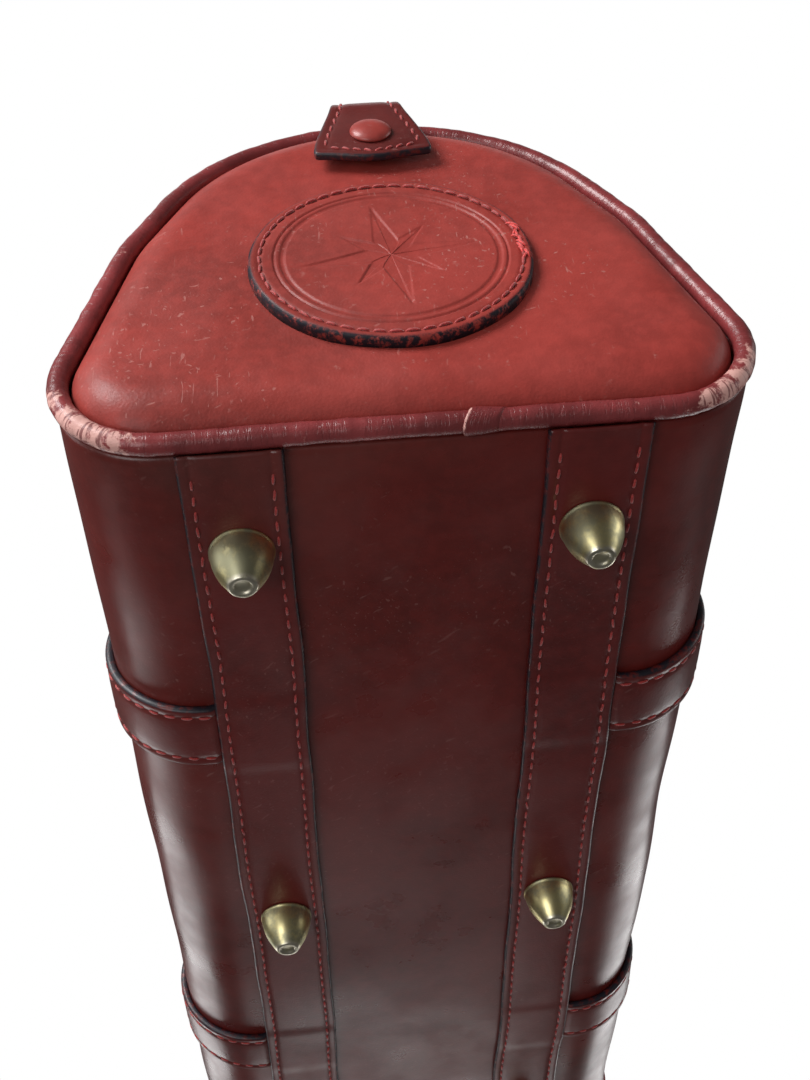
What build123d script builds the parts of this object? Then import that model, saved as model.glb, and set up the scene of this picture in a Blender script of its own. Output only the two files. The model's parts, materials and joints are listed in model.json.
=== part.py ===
"""Leather travel bag with rolled handles, standing on six brass feet.

Lengths are millimetres and +Z is up. X runs along the bag, with its left end at -X and its
right end at +X. The front faces -Y. The origin lies on the ground, under the bag's middle.
"""
from build123d import *
import math
import os

# Overall sizes
body_length = 420.0         # between the outer sides of the two end pipings
corner_spacing = 124.0      # between the centres of the two bottom corner rounds
corner_radius = 26.5        # bottom corner of the cross-section
flank_radius = 54.5         # bulge of the flanks
flank_half_spacing = 22.5   # flank round's centre, from the middle plane
flank_height = 66.0         # flank round's centre, above the base
top_radius = 69.5           # rounded back of the bag, along the zip
top_height = 77.5           # that round's centre, above the base

# Leather and board
leather = 2.2
lining_cloth = 0.8
seam_allowance = 10.0       # turned-in leather behind each end piping
layer_gap = 0.1             # between layers that are sewn together
moving_gap = 0.4            # between pieces that move past each other
spare = 1.0                 # how far a cutter passes the piece it cuts
board = 3.0                 # base stiffener
board_inset = 4.0           # its ends, inside the seam allowances
end_board = 2.4             # end stiffener
end_board_inset = 2.0       # its outer face, inside the panels' ends
lining_ease = 0.6           # lining above the screw heads
lining_inset = 1.0          # its ends, inside the seam allowances

# End panels
piping_diameter = 5.8
piping_proud = 1.7          # how far the piping stands out from the flanks
piping_wrap = 1.1           # leather round the piping's cord
crown = 4.0                 # how far an end panel stands out past its piping
shoulder_radius = 9.0       # rounded edge of the crown
patch_diameter = 77.0
patch_height = 62.0         # patch centre above the base
patch_thick = 3.0
patch_edge_round = 1.0
splice_length = 9.0
splice_offset = 17.0        # joint of the piping's wrap, from the middle plane
splice_thick = 0.7
splice_wrap = 0.7           # share of the piping's radius it covers on the inner side
splice_rise = 1.0           # how far it climbs above the piping's centre line
roundness = 0.97            # share of a cord's radius that is truly round

# Base trim
strip_width = 26.4
strip_spacing = 90.0        # between the two strips' centre lines
strip_thick = 2.5
strap_width = 25.0
strap_spacing = 196.0       # between the left and right straps' centre lines
strap_thick = 2.6
strap_top = 92.0            # where a strap ends on the flank, above the base

# Feet
foot_height = 13.0
foot_base_diameter = 17.0
foot_tip_diameter = 7.5
foot_bulge = 0.9            # how far the cone's side bows out
foot_dimple_diameter = 4.6
foot_dimple_depth = 0.7
foot_dimple_slope = 0.5
foot_rim = 1.0
foot_spacing = 173.0        # along the bag
screw_diameter = 4.0
screw_clearance = 0.1       # on the radius
screw_bite = 8.0            # how far a screw reaches into its foot
screw_head_diameter = 8.0
screw_head = 2.0
washer_diameter = 13.0
washer_thick = 1.0

# Zip
mouth_half_width = 30.0     # fold line of each zip facing, from the middle plane
mouth_length = 300.0
facing_edge = 5.5           # facing's inner edge, from the middle plane
tape_width = 10.0
tape_thick = 0.7
teeth_inner = 1.5
teeth_outer = 4.0
teeth_high = 2.6
teeth_sunk = 1.2            # top of the teeth below the leather's outer face
slider_length = 14.0
slider_width = 9.8
slider_plate = 1.5
slider_rest = 163.0         # slider's place when the zip is closed
bridge_width = 2.2
bridge_length = 11.0
bridge_high = 3.7
bridge_wall = 1.3
bridge_sill = 0.3           # plate under the bridge's window
puller_pin_diameter = 1.4
puller_width = 8.4
puller_arm = 1.5
puller_thick = 1.6
puller_pin_inset = 0.1
puller_loop = 9.0
puller_length = 29.0

# Closing tabs over the ends of the zip
tab_thick = 2.5
tab_neck_width = 21.0
tab_wide = 35.0
tab_drop = 37.0             # from the fold down to the tab's wide corners
tab_point = 4.0             # depth of its blunt point
tab_root_length = 36.0
fold_radius = 8.5           # inside of the fold over the piping
fold_inset = 1.9            # fold's centre, inside the piping's outer side
fold_clearance = 0.5        # fold above the piping
climb_start = 10.0          # where the tab starts to rise, before its fold
climb_end = 4.0
climb_shift = 1.0           # the same bends on its upper side
snap_drop = 27.5            # snap's centre below the fold's top
cap_diameter = 12.5
cap_high = 3.0
snap_post_diameter = 3.4
socket_diameter = 11.0
socket_bore = 6.8
socket_thick = 1.9
socket_roof = 0.4           # metal left over its bore
stud_flange_diameter = 9.5
stud_flange = 0.5
stud_ball_diameter = 4.2
stud_ball_high = 1.7

# Handles
handle_diameter = 12.0
handle_core_diameter = 7.0
handle_plug = 4.0           # solid leather at each end of the roll
handle_rise = 115.0         # centre line of the grip above the necks, along the handle
handle_bend = 60.0
handle_lean = 26.5          # degrees in from upright
handle_span = strap_spacing
neck_height = 108.5         # neck's contact line on the flank, above the base
anchor_width = 30.0
anchor_thick = 3.4
anchor_low = 68.0           # bottom edge of a handle anchor, above the base
anchor_high = 103.5
rivet_diameter = 8.5
rivet_high = 2.0
rivet_shank_radius = 1.6
rivet_height = 80.0         # rivet centres above the base

# Places that follow from the sizes above
base_z = foot_height + strip_thick
half_length = body_length / 2
piping_radius = piping_diameter / 2
piping_x = half_length - piping_radius
piping_offset = piping_proud - piping_radius
panel_end = piping_x - piping_radius - layer_gap
seam_start = panel_end - seam_allowance
end_offset = piping_offset - piping_radius - layer_gap
end_face = half_length + crown
top_z = base_z + top_height + top_radius
strip_y = strip_spacing / 2
strap_x = strap_spacing / 2
strip_low = base_z - strip_thick
board_low = base_z + leather + layer_gap
board_top = board_low + board
reach = 2 * body_length     # longer than anything that is cut


def section(offset=0.0):
    """Cross-section of the bag: the hull of five rounds, grown by offset."""
    rounds = [
        (-corner_spacing / 2, corner_radius, corner_radius),
        (corner_spacing / 2, corner_radius, corner_radius),
        (-flank_half_spacing, flank_height, flank_radius),
        (flank_half_spacing, flank_height, flank_radius),
        (0.0, top_height, top_radius),
    ]
    circles = [Pos(y, base_z + z) * Circle(radius + offset) for y, z, radius in rounds]
    return make_hull([edge for circle in circles for edge in circle.edges()])


def log(offset, x_from, x_to):
    """Solid of the cross-section, grown by offset, between two places along the bag."""
    return extrude(Plane.YZ.offset(x_from) * section(offset), x_to - x_from)


def wall(outer, inner, x_from, x_to):
    """Closed ring between two offsets of the cross-section."""
    return log(outer, x_from, x_to) - log(inner, x_from, x_to)


def block(x_from, x_to, y_from, y_to, z_from, z_to):
    """Box between six planes."""
    centre = Pos((x_from + x_to) / 2, (y_from + y_to) / 2, (z_from + z_to) / 2)
    return centre * Box(x_to - x_from, y_to - y_from, z_to - z_from)


def rod(radius, x, y, z_from, z_to):
    """Upright cylinder."""
    return Pos(x, y, (z_from + z_to) / 2) * Cylinder(radius, z_to - z_from)


def peg(radius, x_from, x_to, y, z):
    """Cylinder along X."""
    return Pos((x_from + x_to) / 2, y, z) * Rot(0, 90, 0) * Cylinder(radius, x_to - x_from)


def foot_places():
    """Centre of every foot."""
    return [(x, y) for y in (-strip_y, strip_y) for x in (-foot_spacing, 0.0, foot_spacing)]


def drilled(shape):
    """Shape with a clearance hole over every foot."""
    for x, y in foot_places():
        shape -= rod(screw_diameter / 2 + screw_clearance, x, y, 0.0, reach)
    return shape


def base_panel():
    """Flat leather between the lines where the strips cover the base seams."""
    flat = block(-panel_end, panel_end, -strip_y, strip_y, base_z, base_z + leather)
    return drilled(flat - seam_notches(strip_y))


def seam_notches(y):
    """Half holes that a seam on the line of the feet leaves in each panel beside it."""
    return Compound([rod(screw_diameter / 2 + screw_clearance, x, side * y, 0.0, board_low)
                     for x in (-foot_spacing, 0.0, foot_spacing) for side in (-1, 1)])


def front_panel():
    """Leather from the front strip, round the corner and up the flank to the zip facing."""
    ring = wall(0.0, -leather, -panel_end, panel_end)
    ring -= block(-reach, reach, -strip_y - layer_gap, reach, 0.0, base_z + leather + spare)
    ring -= block(-reach, reach, -mouth_half_width - moving_gap, reach, base_z, reach)
    return ring - seam_notches(strip_y)


def end_form(offset, x_from, x_to, radius):
    """Crowned end: the cross-section with a rounded outer edge."""
    form = log(offset, x_from, x_to)
    return fillet(form.faces().sort_by(Axis.X)[-1].edges(), radius)


def end_panel():
    """Crowned leather end, with its turned-in edge behind the piping."""
    skin = end_form(end_offset, seam_start, end_face, shoulder_radius)
    skin -= end_form(end_offset - leather, seam_start - spare, end_face - leather,
                     shoulder_radius - leather)
    hole = peg(snap_post_diameter / 2 + layer_gap, end_board_x(), end_face + spare, 0.0, snap_z())
    return skin - hole


def end_pad():
    """Foam that crowns the end panel."""
    inset = end_offset - leather - layer_gap
    return end_form(inset, end_board_x() + layer_gap, end_face - leather - layer_gap,
                    shoulder_radius - leather - layer_gap)


def end_board_x():
    """Outer face of the end stiffener."""
    return panel_end - end_board_inset


def end_stiffener():
    """Flat board behind the foam."""
    return log(end_offset - leather - 2 * layer_gap, end_board_x() - end_board, end_board_x())


def hoop(radius, offset, x):
    """Round cord of a given radius that follows the cross-section at one place."""
    ring = wall(offset + radius, offset - radius, x - radius, x + radius)
    sides = ring.faces().sort_by(Axis.X)
    return fillet(sides[0].edges() + sides[-1].edges(), radius * roundness)


def dome(diameter, height):
    """Shallow dome standing on the XY plane."""
    edge = diameter / 2
    radius = (edge ** 2 + height ** 2) / (2 * height)
    half_angle = math.asin(edge / radius) / 2
    middle = (radius * math.sin(half_angle), height - radius * (1 - math.cos(half_angle)))
    profile = Polyline((0.0, height), (0.0, 0.0), (edge, 0.0))
    profile += ThreePointArc((edge, 0.0), middle, (0.0, height))
    return revolve(Plane.XZ * make_face(profile), Axis.Z)


def piping():
    """Leather wrap of the end piping, with its flange between the two panels."""
    flange = wall(-leather - layer_gap, end_offset + layer_gap, seam_start, piping_x)
    tube = hoop(piping_radius, piping_offset, piping_x) + flange
    return tube - hoop(piping_radius - piping_wrap, piping_offset, piping_x)


def piping_cord():
    """Cord inside the piping."""
    return hoop(piping_radius - piping_wrap - layer_gap, piping_offset, piping_x)


def piping_splice():
    """Overlapped end of the wrap, on the piping's lower run."""
    low = base_z - piping_offset
    outer = splice_ring(piping_radius + splice_thick, low)
    ring = outer - splice_ring(piping_radius + layer_gap / 2, low)
    inner_side = block(-reach, piping_x - piping_radius * splice_wrap, -reach, reach, -reach, reach)
    upper_side = block(-reach, reach, -reach, reach, low + splice_rise, reach)
    return ring - inner_side - upper_side


def splice_ring(radius, z):
    """Short cylinder along Y round the piping's lower run."""
    return Pos(piping_x, splice_offset, z) * Rot(90, 0, 0) * Cylinder(radius, splice_length)


def end_patch():
    """Round badge sewn on the end panel."""
    disc = peg(patch_diameter / 2, end_face + layer_gap, end_face + layer_gap + patch_thick,
               0.0, base_z + patch_height)
    return fillet(disc.faces().sort_by(Axis.X)[-1].edges(), patch_edge_round)


def base_strip():
    """Strip along the front base seam, under the front feet."""
    strip = block(-panel_end, panel_end, -strip_y - strip_width / 2, -strip_y + strip_width / 2,
                  strip_low, base_z - layer_gap)
    return drilled(strip)


def strap():
    """Strap at the right of the front: from the strip, round the corner and up the flank."""
    ring = wall(strap_thick, layer_gap, strap_x - strap_width / 2, strap_x + strap_width / 2)
    under = -strip_y - strip_width / 2 - layer_gap
    ring -= block(-reach, reach, under, reach, 0.0, base_z)
    ring -= block(-reach, reach, -reach, reach, base_z + strap_top, reach)
    return riveted(ring - block(-reach, reach, 0.0, reach, -reach, reach))


def foot(x, y):
    """Conical foot with a dimpled tip and a blind hole for its screw."""
    tip = foot_tip_diameter / 2
    wide = foot_base_diameter / 2
    dimple = foot_dimple_diameter / 2
    middle = ((tip + wide) / 2 + foot_bulge, (foot_height - foot_rim) / 2)
    rim_z = foot_height - foot_rim
    profile = Curve() + [
        Line((0.0, foot_dimple_depth), (dimple - foot_dimple_slope, foot_dimple_depth)),
        Line((dimple - foot_dimple_slope, foot_dimple_depth), (dimple, 0.0)),
        Line((dimple, 0.0), (tip, 0.0)),
        ThreePointArc((tip, 0.0), middle, (wide, rim_z)),
        Line((wide, rim_z), (wide, foot_height - layer_gap)),
        Line((wide, foot_height - layer_gap), (0.0, foot_height - layer_gap)),
        Line((0.0, foot_height - layer_gap), (0.0, foot_dimple_depth)),
    ]
    cone = revolve(Plane.XZ * make_face(profile), Axis.Z)
    hole = rod(screw_diameter / 2 + screw_clearance, 0.0, 0.0, foot_height - screw_bite, reach)
    return Pos(x, y, 0.0) * (cone - hole)


def foot_screw(x, y):
    """Screw from inside the bag, through board, panels and strip, into a foot."""
    seat = board_top + washer_thick + 2 * layer_gap
    shank = rod(screw_diameter / 2, x, y, foot_height - screw_bite + layer_gap, seat)
    return shank + rod(screw_head_diameter / 2, x, y, seat, seat + screw_head)


def foot_washer(x, y):
    """Washer between the screw's head and the base board."""
    low = board_top + layer_gap
    ring = rod(washer_diameter / 2, x, y, low, low + washer_thick)
    return ring - rod(screw_diameter / 2 + screw_clearance, x, y, 0.0, reach)


def base_board():
    """Stiff board inside the base."""
    plate = block(-seam_start + board_inset, seam_start - board_inset, -corner_spacing / 2, corner_spacing / 2,
                  board_low, board_top)
    return drilled(plate)


def lining():
    """Cloth bag inside the leather, open along the mouth."""
    floor_z = board_top + washer_thick + screw_head + lining_ease
    half = seam_start - lining_inset
    outer = log(-leather - 2 * layer_gap, -half, half)
    inner = log(-leather - 2 * layer_gap - lining_cloth, -half + lining_cloth, half - lining_cloth)
    below = block(-reach, reach, -reach, reach, 0.0, floor_z)
    cloth = (outer - below) - (inner - Pos(0, 0, lining_cloth) * below)
    mouth = mouth_half_width + 2 * moving_gap
    mouth_z = base_z + top_height + math.sqrt(top_radius ** 2 - mouth ** 2)
    return cloth - block(-reach, reach, -mouth, mouth, mouth_z - 2 * leather, reach)


def facing_ring(outer, inner, y_from, y_to, x_from, x_to):
    """Piece of the bag's back between two lines along it, on the front side."""
    ring = wall(outer, inner, x_from, x_to)
    return ring & block(x_from - spare, x_to + spare, -y_to, -y_from, base_z + flank_height, reach)


def zip_facing(x_from, x_to, outer_edge):
    """Leather beside the zip."""
    return facing_ring(0.0, -leather, facing_edge, outer_edge, x_from, x_to)


def zip_tape(x_from, x_to):
    """Woven tape under the facing, carrying one row of teeth."""
    outer = -leather - layer_gap
    return facing_ring(outer, outer - tape_thick, teeth_outer, teeth_outer + tape_width,
                       x_from, x_to)


def zip_teeth(x_from, x_to):
    """One row of teeth, as a plain bar."""
    top = top_z - teeth_sunk
    return block(x_from, x_to, -teeth_outer, -teeth_inner, top - teeth_high, top)


def slider():
    """Upper plate of the zip slider, with the bridge that holds its puller."""
    low = slider_low()
    high = low + slider_plate
    plate = block(slider_rest - slider_length / 2, slider_rest + slider_length / 2,
                  -slider_width / 2, slider_width / 2, low, high)
    plate = fillet(plate.edges().filter_by(Axis.Z), slider_width / 4)
    bridge = block(slider_rest - bridge_length / 2, slider_rest + bridge_length / 2,
                   -bridge_width / 2, bridge_width / 2, high, high + bridge_high)
    window = block(slider_rest - bridge_length / 2 + bridge_wall * 2,
                   slider_rest + bridge_length / 2 - bridge_wall * 2,
                   -bridge_width, bridge_width, high + bridge_sill, high + bridge_high - bridge_wall)
    return plate + (bridge - window)


def slider_low():
    """Underside of the slider, just above the teeth."""
    return top_z - teeth_sunk + moving_gap


def pin_z():
    """Height of the puller's pin, in the middle of the bridge's window."""
    high = slider_low() + slider_plate
    return high + (bridge_sill + bridge_high - bridge_wall) / 2


def puller():
    """Puller lying towards the bag's middle, hung on its pin under the bridge."""
    half = puller_width / 2
    pin = Pos(slider_rest, 0.0, pin_z()) * Rot(90, 0, 0) * Cylinder(
        puller_pin_diameter / 2, puller_width - 2 * puller_pin_inset)
    low = pin_z() - puller_thick / 2
    high = pin_z() + puller_thick / 2
    tag = block(slider_rest - puller_length, slider_rest + puller_thick / 2,
                -half, half, low, high)
    tag -= block(slider_rest - puller_loop, slider_rest + puller_thick,
                 -half + puller_arm, half - puller_arm, low - spare, high + spare)
    return tag + pin


def zip_end_facings():
    """Leather beside the closed end of the zip, past the right end of the mouth."""
    start = mouth_length / 2 + moving_gap
    front = zip_facing(start, panel_end, mouth_half_width + moving_gap - layer_gap)
    return [front, mirror(front, about=Plane.XZ)]


def zip_end_rows():
    """Tapes and teeth of that closed end."""
    start = mouth_length / 2 + moving_gap
    front = zip_tape(start, seam_start - layer_gap) + zip_teeth(start, seam_start - layer_gap)
    return [front, mirror(front, about=Plane.XZ)]


def fold_centre():
    """Centre of the tab's fold, as x and z."""
    return half_length - fold_inset, top_z + piping_proud + fold_clearance - fold_radius


def snap_z():
    """Height of the snap fastener."""
    return fold_centre()[1] + fold_radius + tab_thick - snap_drop


def tab():
    """Closing tab: it folds over the right end and buttons to the end panel."""
    fold_x, fold_z = fold_centre()
    fold_top = fold_z + fold_radius + tab_thick
    outer = Pos(fold_x, 0.0, fold_z) * Rot(90, 0, 0) * Cylinder(fold_radius + tab_thick, tab_wide)
    inner = Pos(fold_x, 0.0, fold_z) * Rot(90, 0, 0) * Cylinder(fold_radius, tab_wide + 2 * spare)
    bend = (outer - inner) & block(fold_x, reach, -reach, reach, fold_z, reach)
    drop = block(fold_x + fold_radius, fold_x + fold_radius + tab_thick,
                 -tab_wide / 2, tab_wide / 2, fold_top - tab_drop - tab_point, fold_z)
    shape = Polyline(
        (-tab_neck_width / 2, fold_top + spare), (-tab_neck_width / 2, fold_z),
        (-tab_wide / 2, fold_top - tab_drop), (0.0, fold_top - tab_drop - tab_point),
        (tab_wide / 2, fold_top - tab_drop), (tab_neck_width / 2, fold_z),
        (tab_neck_width / 2, fold_top + spare), (-tab_neck_width / 2, fold_top + spare))
    outline = extrude(Plane.YZ * make_face(shape), reach)
    hole = peg(snap_post_diameter / 2 + layer_gap, fold_x, reach, 0.0, snap_z())
    return ((bend + drop) & outline) - hole


def tab_root():
    """Fixed part of the tab, sewn down over the end of the zip."""
    fold_x, fold_z = fold_centre()
    high = fold_z + fold_radius
    low = top_z + layer_gap
    end_x = fold_x - moving_gap
    start_x = fold_x - tab_root_length
    side = Polyline(
        (start_x, low), (end_x - climb_start, low), (end_x - climb_end, high), (end_x, high),
        (end_x, high + tab_thick), (end_x - climb_end - climb_shift, high + tab_thick),
        (end_x - climb_start - climb_shift, low + tab_thick), (start_x, low + tab_thick),
        (start_x, low))
    return extrude(Plane.XZ.offset(-tab_neck_width / 2) * make_face(side), tab_neck_width)


def snap_cap():
    """Domed cap outside the tab, with the post that passes through it."""
    face = fold_centre()[0] + fold_radius + tab_thick
    cap = Pos(face + layer_gap, 0.0, snap_z()) * Rot(0, 90, 0) * dome(cap_diameter, cap_high)
    return cap + peg(snap_post_diameter / 2, face - tab_thick, face + layer_gap * 2, 0.0, snap_z())


def snap_socket():
    """Ring on the inside of the tab that presses over the stud."""
    face = fold_centre()[0] + fold_radius
    ring = peg(socket_diameter / 2, face - socket_thick, face - layer_gap, 0.0, snap_z())
    return ring - peg(socket_bore / 2, face - socket_thick - spare, face - socket_roof, 0.0, snap_z())


def snap_stud():
    """Stud riveted through the end panel."""
    low = end_face + layer_gap
    flange = peg(stud_flange_diameter / 2, low, low + stud_flange, 0.0, snap_z())
    post = peg(snap_post_diameter / 2, end_face - leather, low + layer_gap, 0.0, snap_z())
    ball = peg(stud_ball_diameter / 2, low, low + stud_ball_high, 0.0, snap_z())
    ball = fillet(ball.faces().sort_by(Axis.X)[-1].edges(), stud_ball_diameter / 4)
    return post + flange + ball


def handle_plane():
    """Plane of the front handle: x along the bag, y up the handle from its necks."""
    lean = math.radians(handle_lean)
    out = strap_thick + layer_gap + handle_diameter / 2
    contact_y = -flank_y(neck_height)
    centre_y = contact_y - out * math.cos(lean)
    centre_z = base_z + neck_height + out * math.sin(lean)
    across = (0.0, -math.cos(lean), math.sin(lean))
    return Plane(origin=(0.0, centre_y, centre_z), x_dir=(1, 0, 0), z_dir=across)


def flank_y(height):
    """Half width of the leather at a height above the base, on the top round."""
    return math.sqrt(top_radius ** 2 - (height - top_height) ** 2)


def handle_path(trim):
    """Arched centre line of the front handle, with its ends trimmed."""
    half = handle_span / 2
    arch = FilletPolyline((-half, trim), (-half, handle_rise), (half, handle_rise),
                          (half, trim), radius=handle_bend)
    return handle_plane() * arch


def handle():
    """Rolled leather of the front handle."""
    path = handle_path(moving_gap)
    roll = sweep((path ^ 0) * Circle(handle_diameter / 2), path=path)
    core_path = handle_path(moving_gap + handle_plug)
    return roll - sweep((core_path ^ 0) * Circle(handle_core_diameter / 2), path=core_path)


def handle_core():
    """Rope inside the front handle."""
    path = handle_path(moving_gap + handle_plug + layer_gap)
    return sweep((path ^ 0) * Circle(handle_core_diameter / 2 - layer_gap), path=path)


def handle_anchors():
    """Flat ends of the front handle, sewn and riveted down over the straps."""
    solids = []
    for side in (-1, 1):
        x = side * strap_x
        low = strap_thick + layer_gap
        ring = wall(low + anchor_thick, low, x - anchor_width / 2, x + anchor_width / 2)
        band = block(-reach, reach, -reach, 0.0, base_z + anchor_low, base_z + anchor_high)
        solids.append(riveted(ring & band))
    return solids


def rivet_frames():
    """Places of the front handle's rivets, each with its z straight out of the flank's leather.

    They lie on the flank round, or on the straight run between it and the corner round.
    """
    in_from_corner = corner_spacing / 2 - flank_half_spacing
    up_from_corner = flank_height - corner_radius
    apart = math.hypot(in_from_corner, up_from_corner)
    join = math.atan2(up_from_corner, -in_from_corner)
    join -= math.acos((corner_radius - flank_radius) / apart)
    angle = math.asin((rivet_height - flank_height) / flank_radius)
    y = flank_half_spacing + flank_radius * math.cos(angle)
    if angle < join:
        below = flank_height + flank_radius * math.sin(join) - rivet_height
        y = flank_half_spacing + flank_radius * math.cos(join) + below * math.tan(join)
        angle = join
    return [Plane(origin=(side * strap_x, -y, base_z + rivet_height), x_dir=(1, 0, 0),
                  z_dir=(0.0, -math.cos(angle), math.sin(angle))) for side in (-1, 1)]


def riveted(shape):
    """Shape with a clearance hole for each rivet of the front handle."""
    hole = Cylinder(rivet_shank_radius + layer_gap, 4 * anchor_thick)
    for place in rivet_frames():
        shape -= place * hole
    return shape


def handle_rivets():
    """Domed rivets of the front handle's two anchors."""
    seat = strap_thick + anchor_thick + 3 * layer_gap
    rivet = Pos(0, 0, seat) * dome(rivet_diameter, rivet_high)
    rivet += Pos(0, 0, seat / 2 + layer_gap) * Cylinder(rivet_shank_radius, seat)
    return [place * rivet for place in rivet_frames()]


def front_and_back(name, shape):
    """Node on the front and its mirror image on the back."""
    save(f"{name}_front", shape)
    save(f"{name}_back", flipped(shape, Plane.XZ))


def left_and_right(name, shape):
    """Node at the right end and its mirror image at the left end."""
    save(f"{name}_right", shape)
    save(f"{name}_left", flipped(shape, Plane.YZ))


def flipped(shape, plane):
    """Mirror image of a solid or of a list of solids."""
    if isinstance(shape, list):
        return [mirror(piece, about=plane) for piece in shape]
    return mirror(shape, about=plane)


def save(node, shape):
    """Write one node; a list becomes a group of separate solids."""
    pieces = shape if isinstance(shape, list) else [shape]
    solids = [solid for piece in pieces for solid in piece.solids()]
    export_step(Compound(solids) if len(solids) > 1 else solids[0], f"parts/{node}.step")


def main():
    os.makedirs("parts", exist_ok=True)
    half_mouth = mouth_length / 2
    save("base_panel", base_panel())
    panel = front_panel()
    save("front_panel", panel)
    save("back_panel", flipped(panel, Plane.XZ))
    left_and_right("end_panel", end_panel())
    left_and_right("end_pad", end_pad())
    left_and_right("end_board", end_stiffener())
    left_and_right("end_patch", end_patch())
    left_and_right("piping", piping())
    left_and_right("piping_cord", piping_cord())
    left_and_right("piping_splice", piping_splice())
    front_and_back("base_strip", base_strip())
    right = strap()
    left = flipped(right, Plane.YZ)
    front_and_back("strap_right", right)
    front_and_back("strap_left", left)
    save("base_feet", [foot(x, y) for x, y in foot_places()])
    save("foot_screws", [foot_screw(x, y) for x, y in foot_places()])
    save("foot_washers", [foot_washer(x, y) for x, y in foot_places()])
    save("base_board", base_board())
    save("lining", lining())
    front_and_back("zip_facing", zip_facing(-half_mouth, half_mouth, mouth_half_width))
    front_and_back("zip_tape", zip_tape(-half_mouth, half_mouth))
    front_and_back("zip_teeth", zip_teeth(-half_mouth, half_mouth))
    left_and_right("zip_end_facings", zip_end_facings())
    left_and_right("zip_end_rows", zip_end_rows())
    save("slider", slider())
    save("puller", puller())
    left_and_right("tab", tab())
    left_and_right("tab_root", tab_root())
    left_and_right("snap_cap", snap_cap())
    left_and_right("snap_socket", snap_socket())
    left_and_right("snap_stud", snap_stud())
    front_and_back("handle", handle())
    front_and_back("handle_core", handle_core())
    front_and_back("handle_anchors", handle_anchors())
    front_and_back("handle_rivets", handle_rivets())


if __name__ == "__main__":
    main()
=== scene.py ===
"""Leather travel bag: the visible pieces, their materials and a small studio.

Lengths are metres and +Z is up. X runs along the bag and the front faces -Y. Most pieces are laid
out on the bag's own skin: x runs along the bag, s runs round its cross-section from the middle of
the base, and h is the height above the leather. The back has positive s, the front negative s.
"""
import json
import math

import bpy
import numpy as np
from mathutils import Matrix, Vector


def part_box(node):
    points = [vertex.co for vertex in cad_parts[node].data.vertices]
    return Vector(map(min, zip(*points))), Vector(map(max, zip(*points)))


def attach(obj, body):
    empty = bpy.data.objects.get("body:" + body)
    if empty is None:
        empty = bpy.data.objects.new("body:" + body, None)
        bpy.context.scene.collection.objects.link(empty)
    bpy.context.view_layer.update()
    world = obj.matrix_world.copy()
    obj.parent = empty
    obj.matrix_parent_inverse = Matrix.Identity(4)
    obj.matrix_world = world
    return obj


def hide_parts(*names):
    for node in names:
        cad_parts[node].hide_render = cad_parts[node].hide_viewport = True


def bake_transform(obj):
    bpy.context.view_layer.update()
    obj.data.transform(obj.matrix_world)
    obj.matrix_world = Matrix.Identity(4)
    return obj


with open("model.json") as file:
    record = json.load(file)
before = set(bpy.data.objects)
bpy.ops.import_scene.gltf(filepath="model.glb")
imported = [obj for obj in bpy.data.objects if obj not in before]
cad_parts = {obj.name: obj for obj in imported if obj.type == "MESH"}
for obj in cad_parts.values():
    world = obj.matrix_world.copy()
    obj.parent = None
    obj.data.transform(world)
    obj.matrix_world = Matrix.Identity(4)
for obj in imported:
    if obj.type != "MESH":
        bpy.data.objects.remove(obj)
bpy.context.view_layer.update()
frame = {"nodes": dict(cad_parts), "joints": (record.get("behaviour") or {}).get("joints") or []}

bl_info = {
    "name": "Leather Travel Bag",
    "version": (1, 0, 0),
    "blender": (4, 5, 0),
    "location": "View3D > Sidebar > Travel Bag",
    "description": "Builds a burgundy leather travel bag on its solid model",
    "category": "Object",
}

MM = 0.001
trim_round = 0.9 * MM            # width of a trimmed edge's rounding
stitch_groove = 0.30 * MM        # how deep a row of stitches pulls the leather in
edge_paint_fades = 0.7 * MM      # width over which an edge's paint gives out
handle_lean = math.radians(26.5)  # a raised handle's lean over the bag
tab_thick = 2.5 * MM
tab_flares_from = 44 * MM        # along a closing tab, from its root
end_limit = 17 * MM              # parallel rings of an end panel reach this far in
end_pole = 62 * MM               # its rings would shrink to nothing here
end_last = 61.5 * MM             # and the last ring lies here
dust = (0.17, 0.09, 0.07)


# Settings

def length(name, value, description):
    """Length property, with its default in metres."""
    return bpy.props.FloatProperty(name=name, description=description, default=value,
                                   unit="LENGTH", precision=4)


def colour(name, value, description):
    """Colour property."""
    return bpy.props.FloatVectorProperty(name=name, description=description, default=value,
                                         size=3, min=0.0, max=1.0, subtype="COLOR")


def amount(name, value, description):
    """Plain number property."""
    return bpy.props.FloatProperty(name=name, description=description, default=value)


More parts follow.
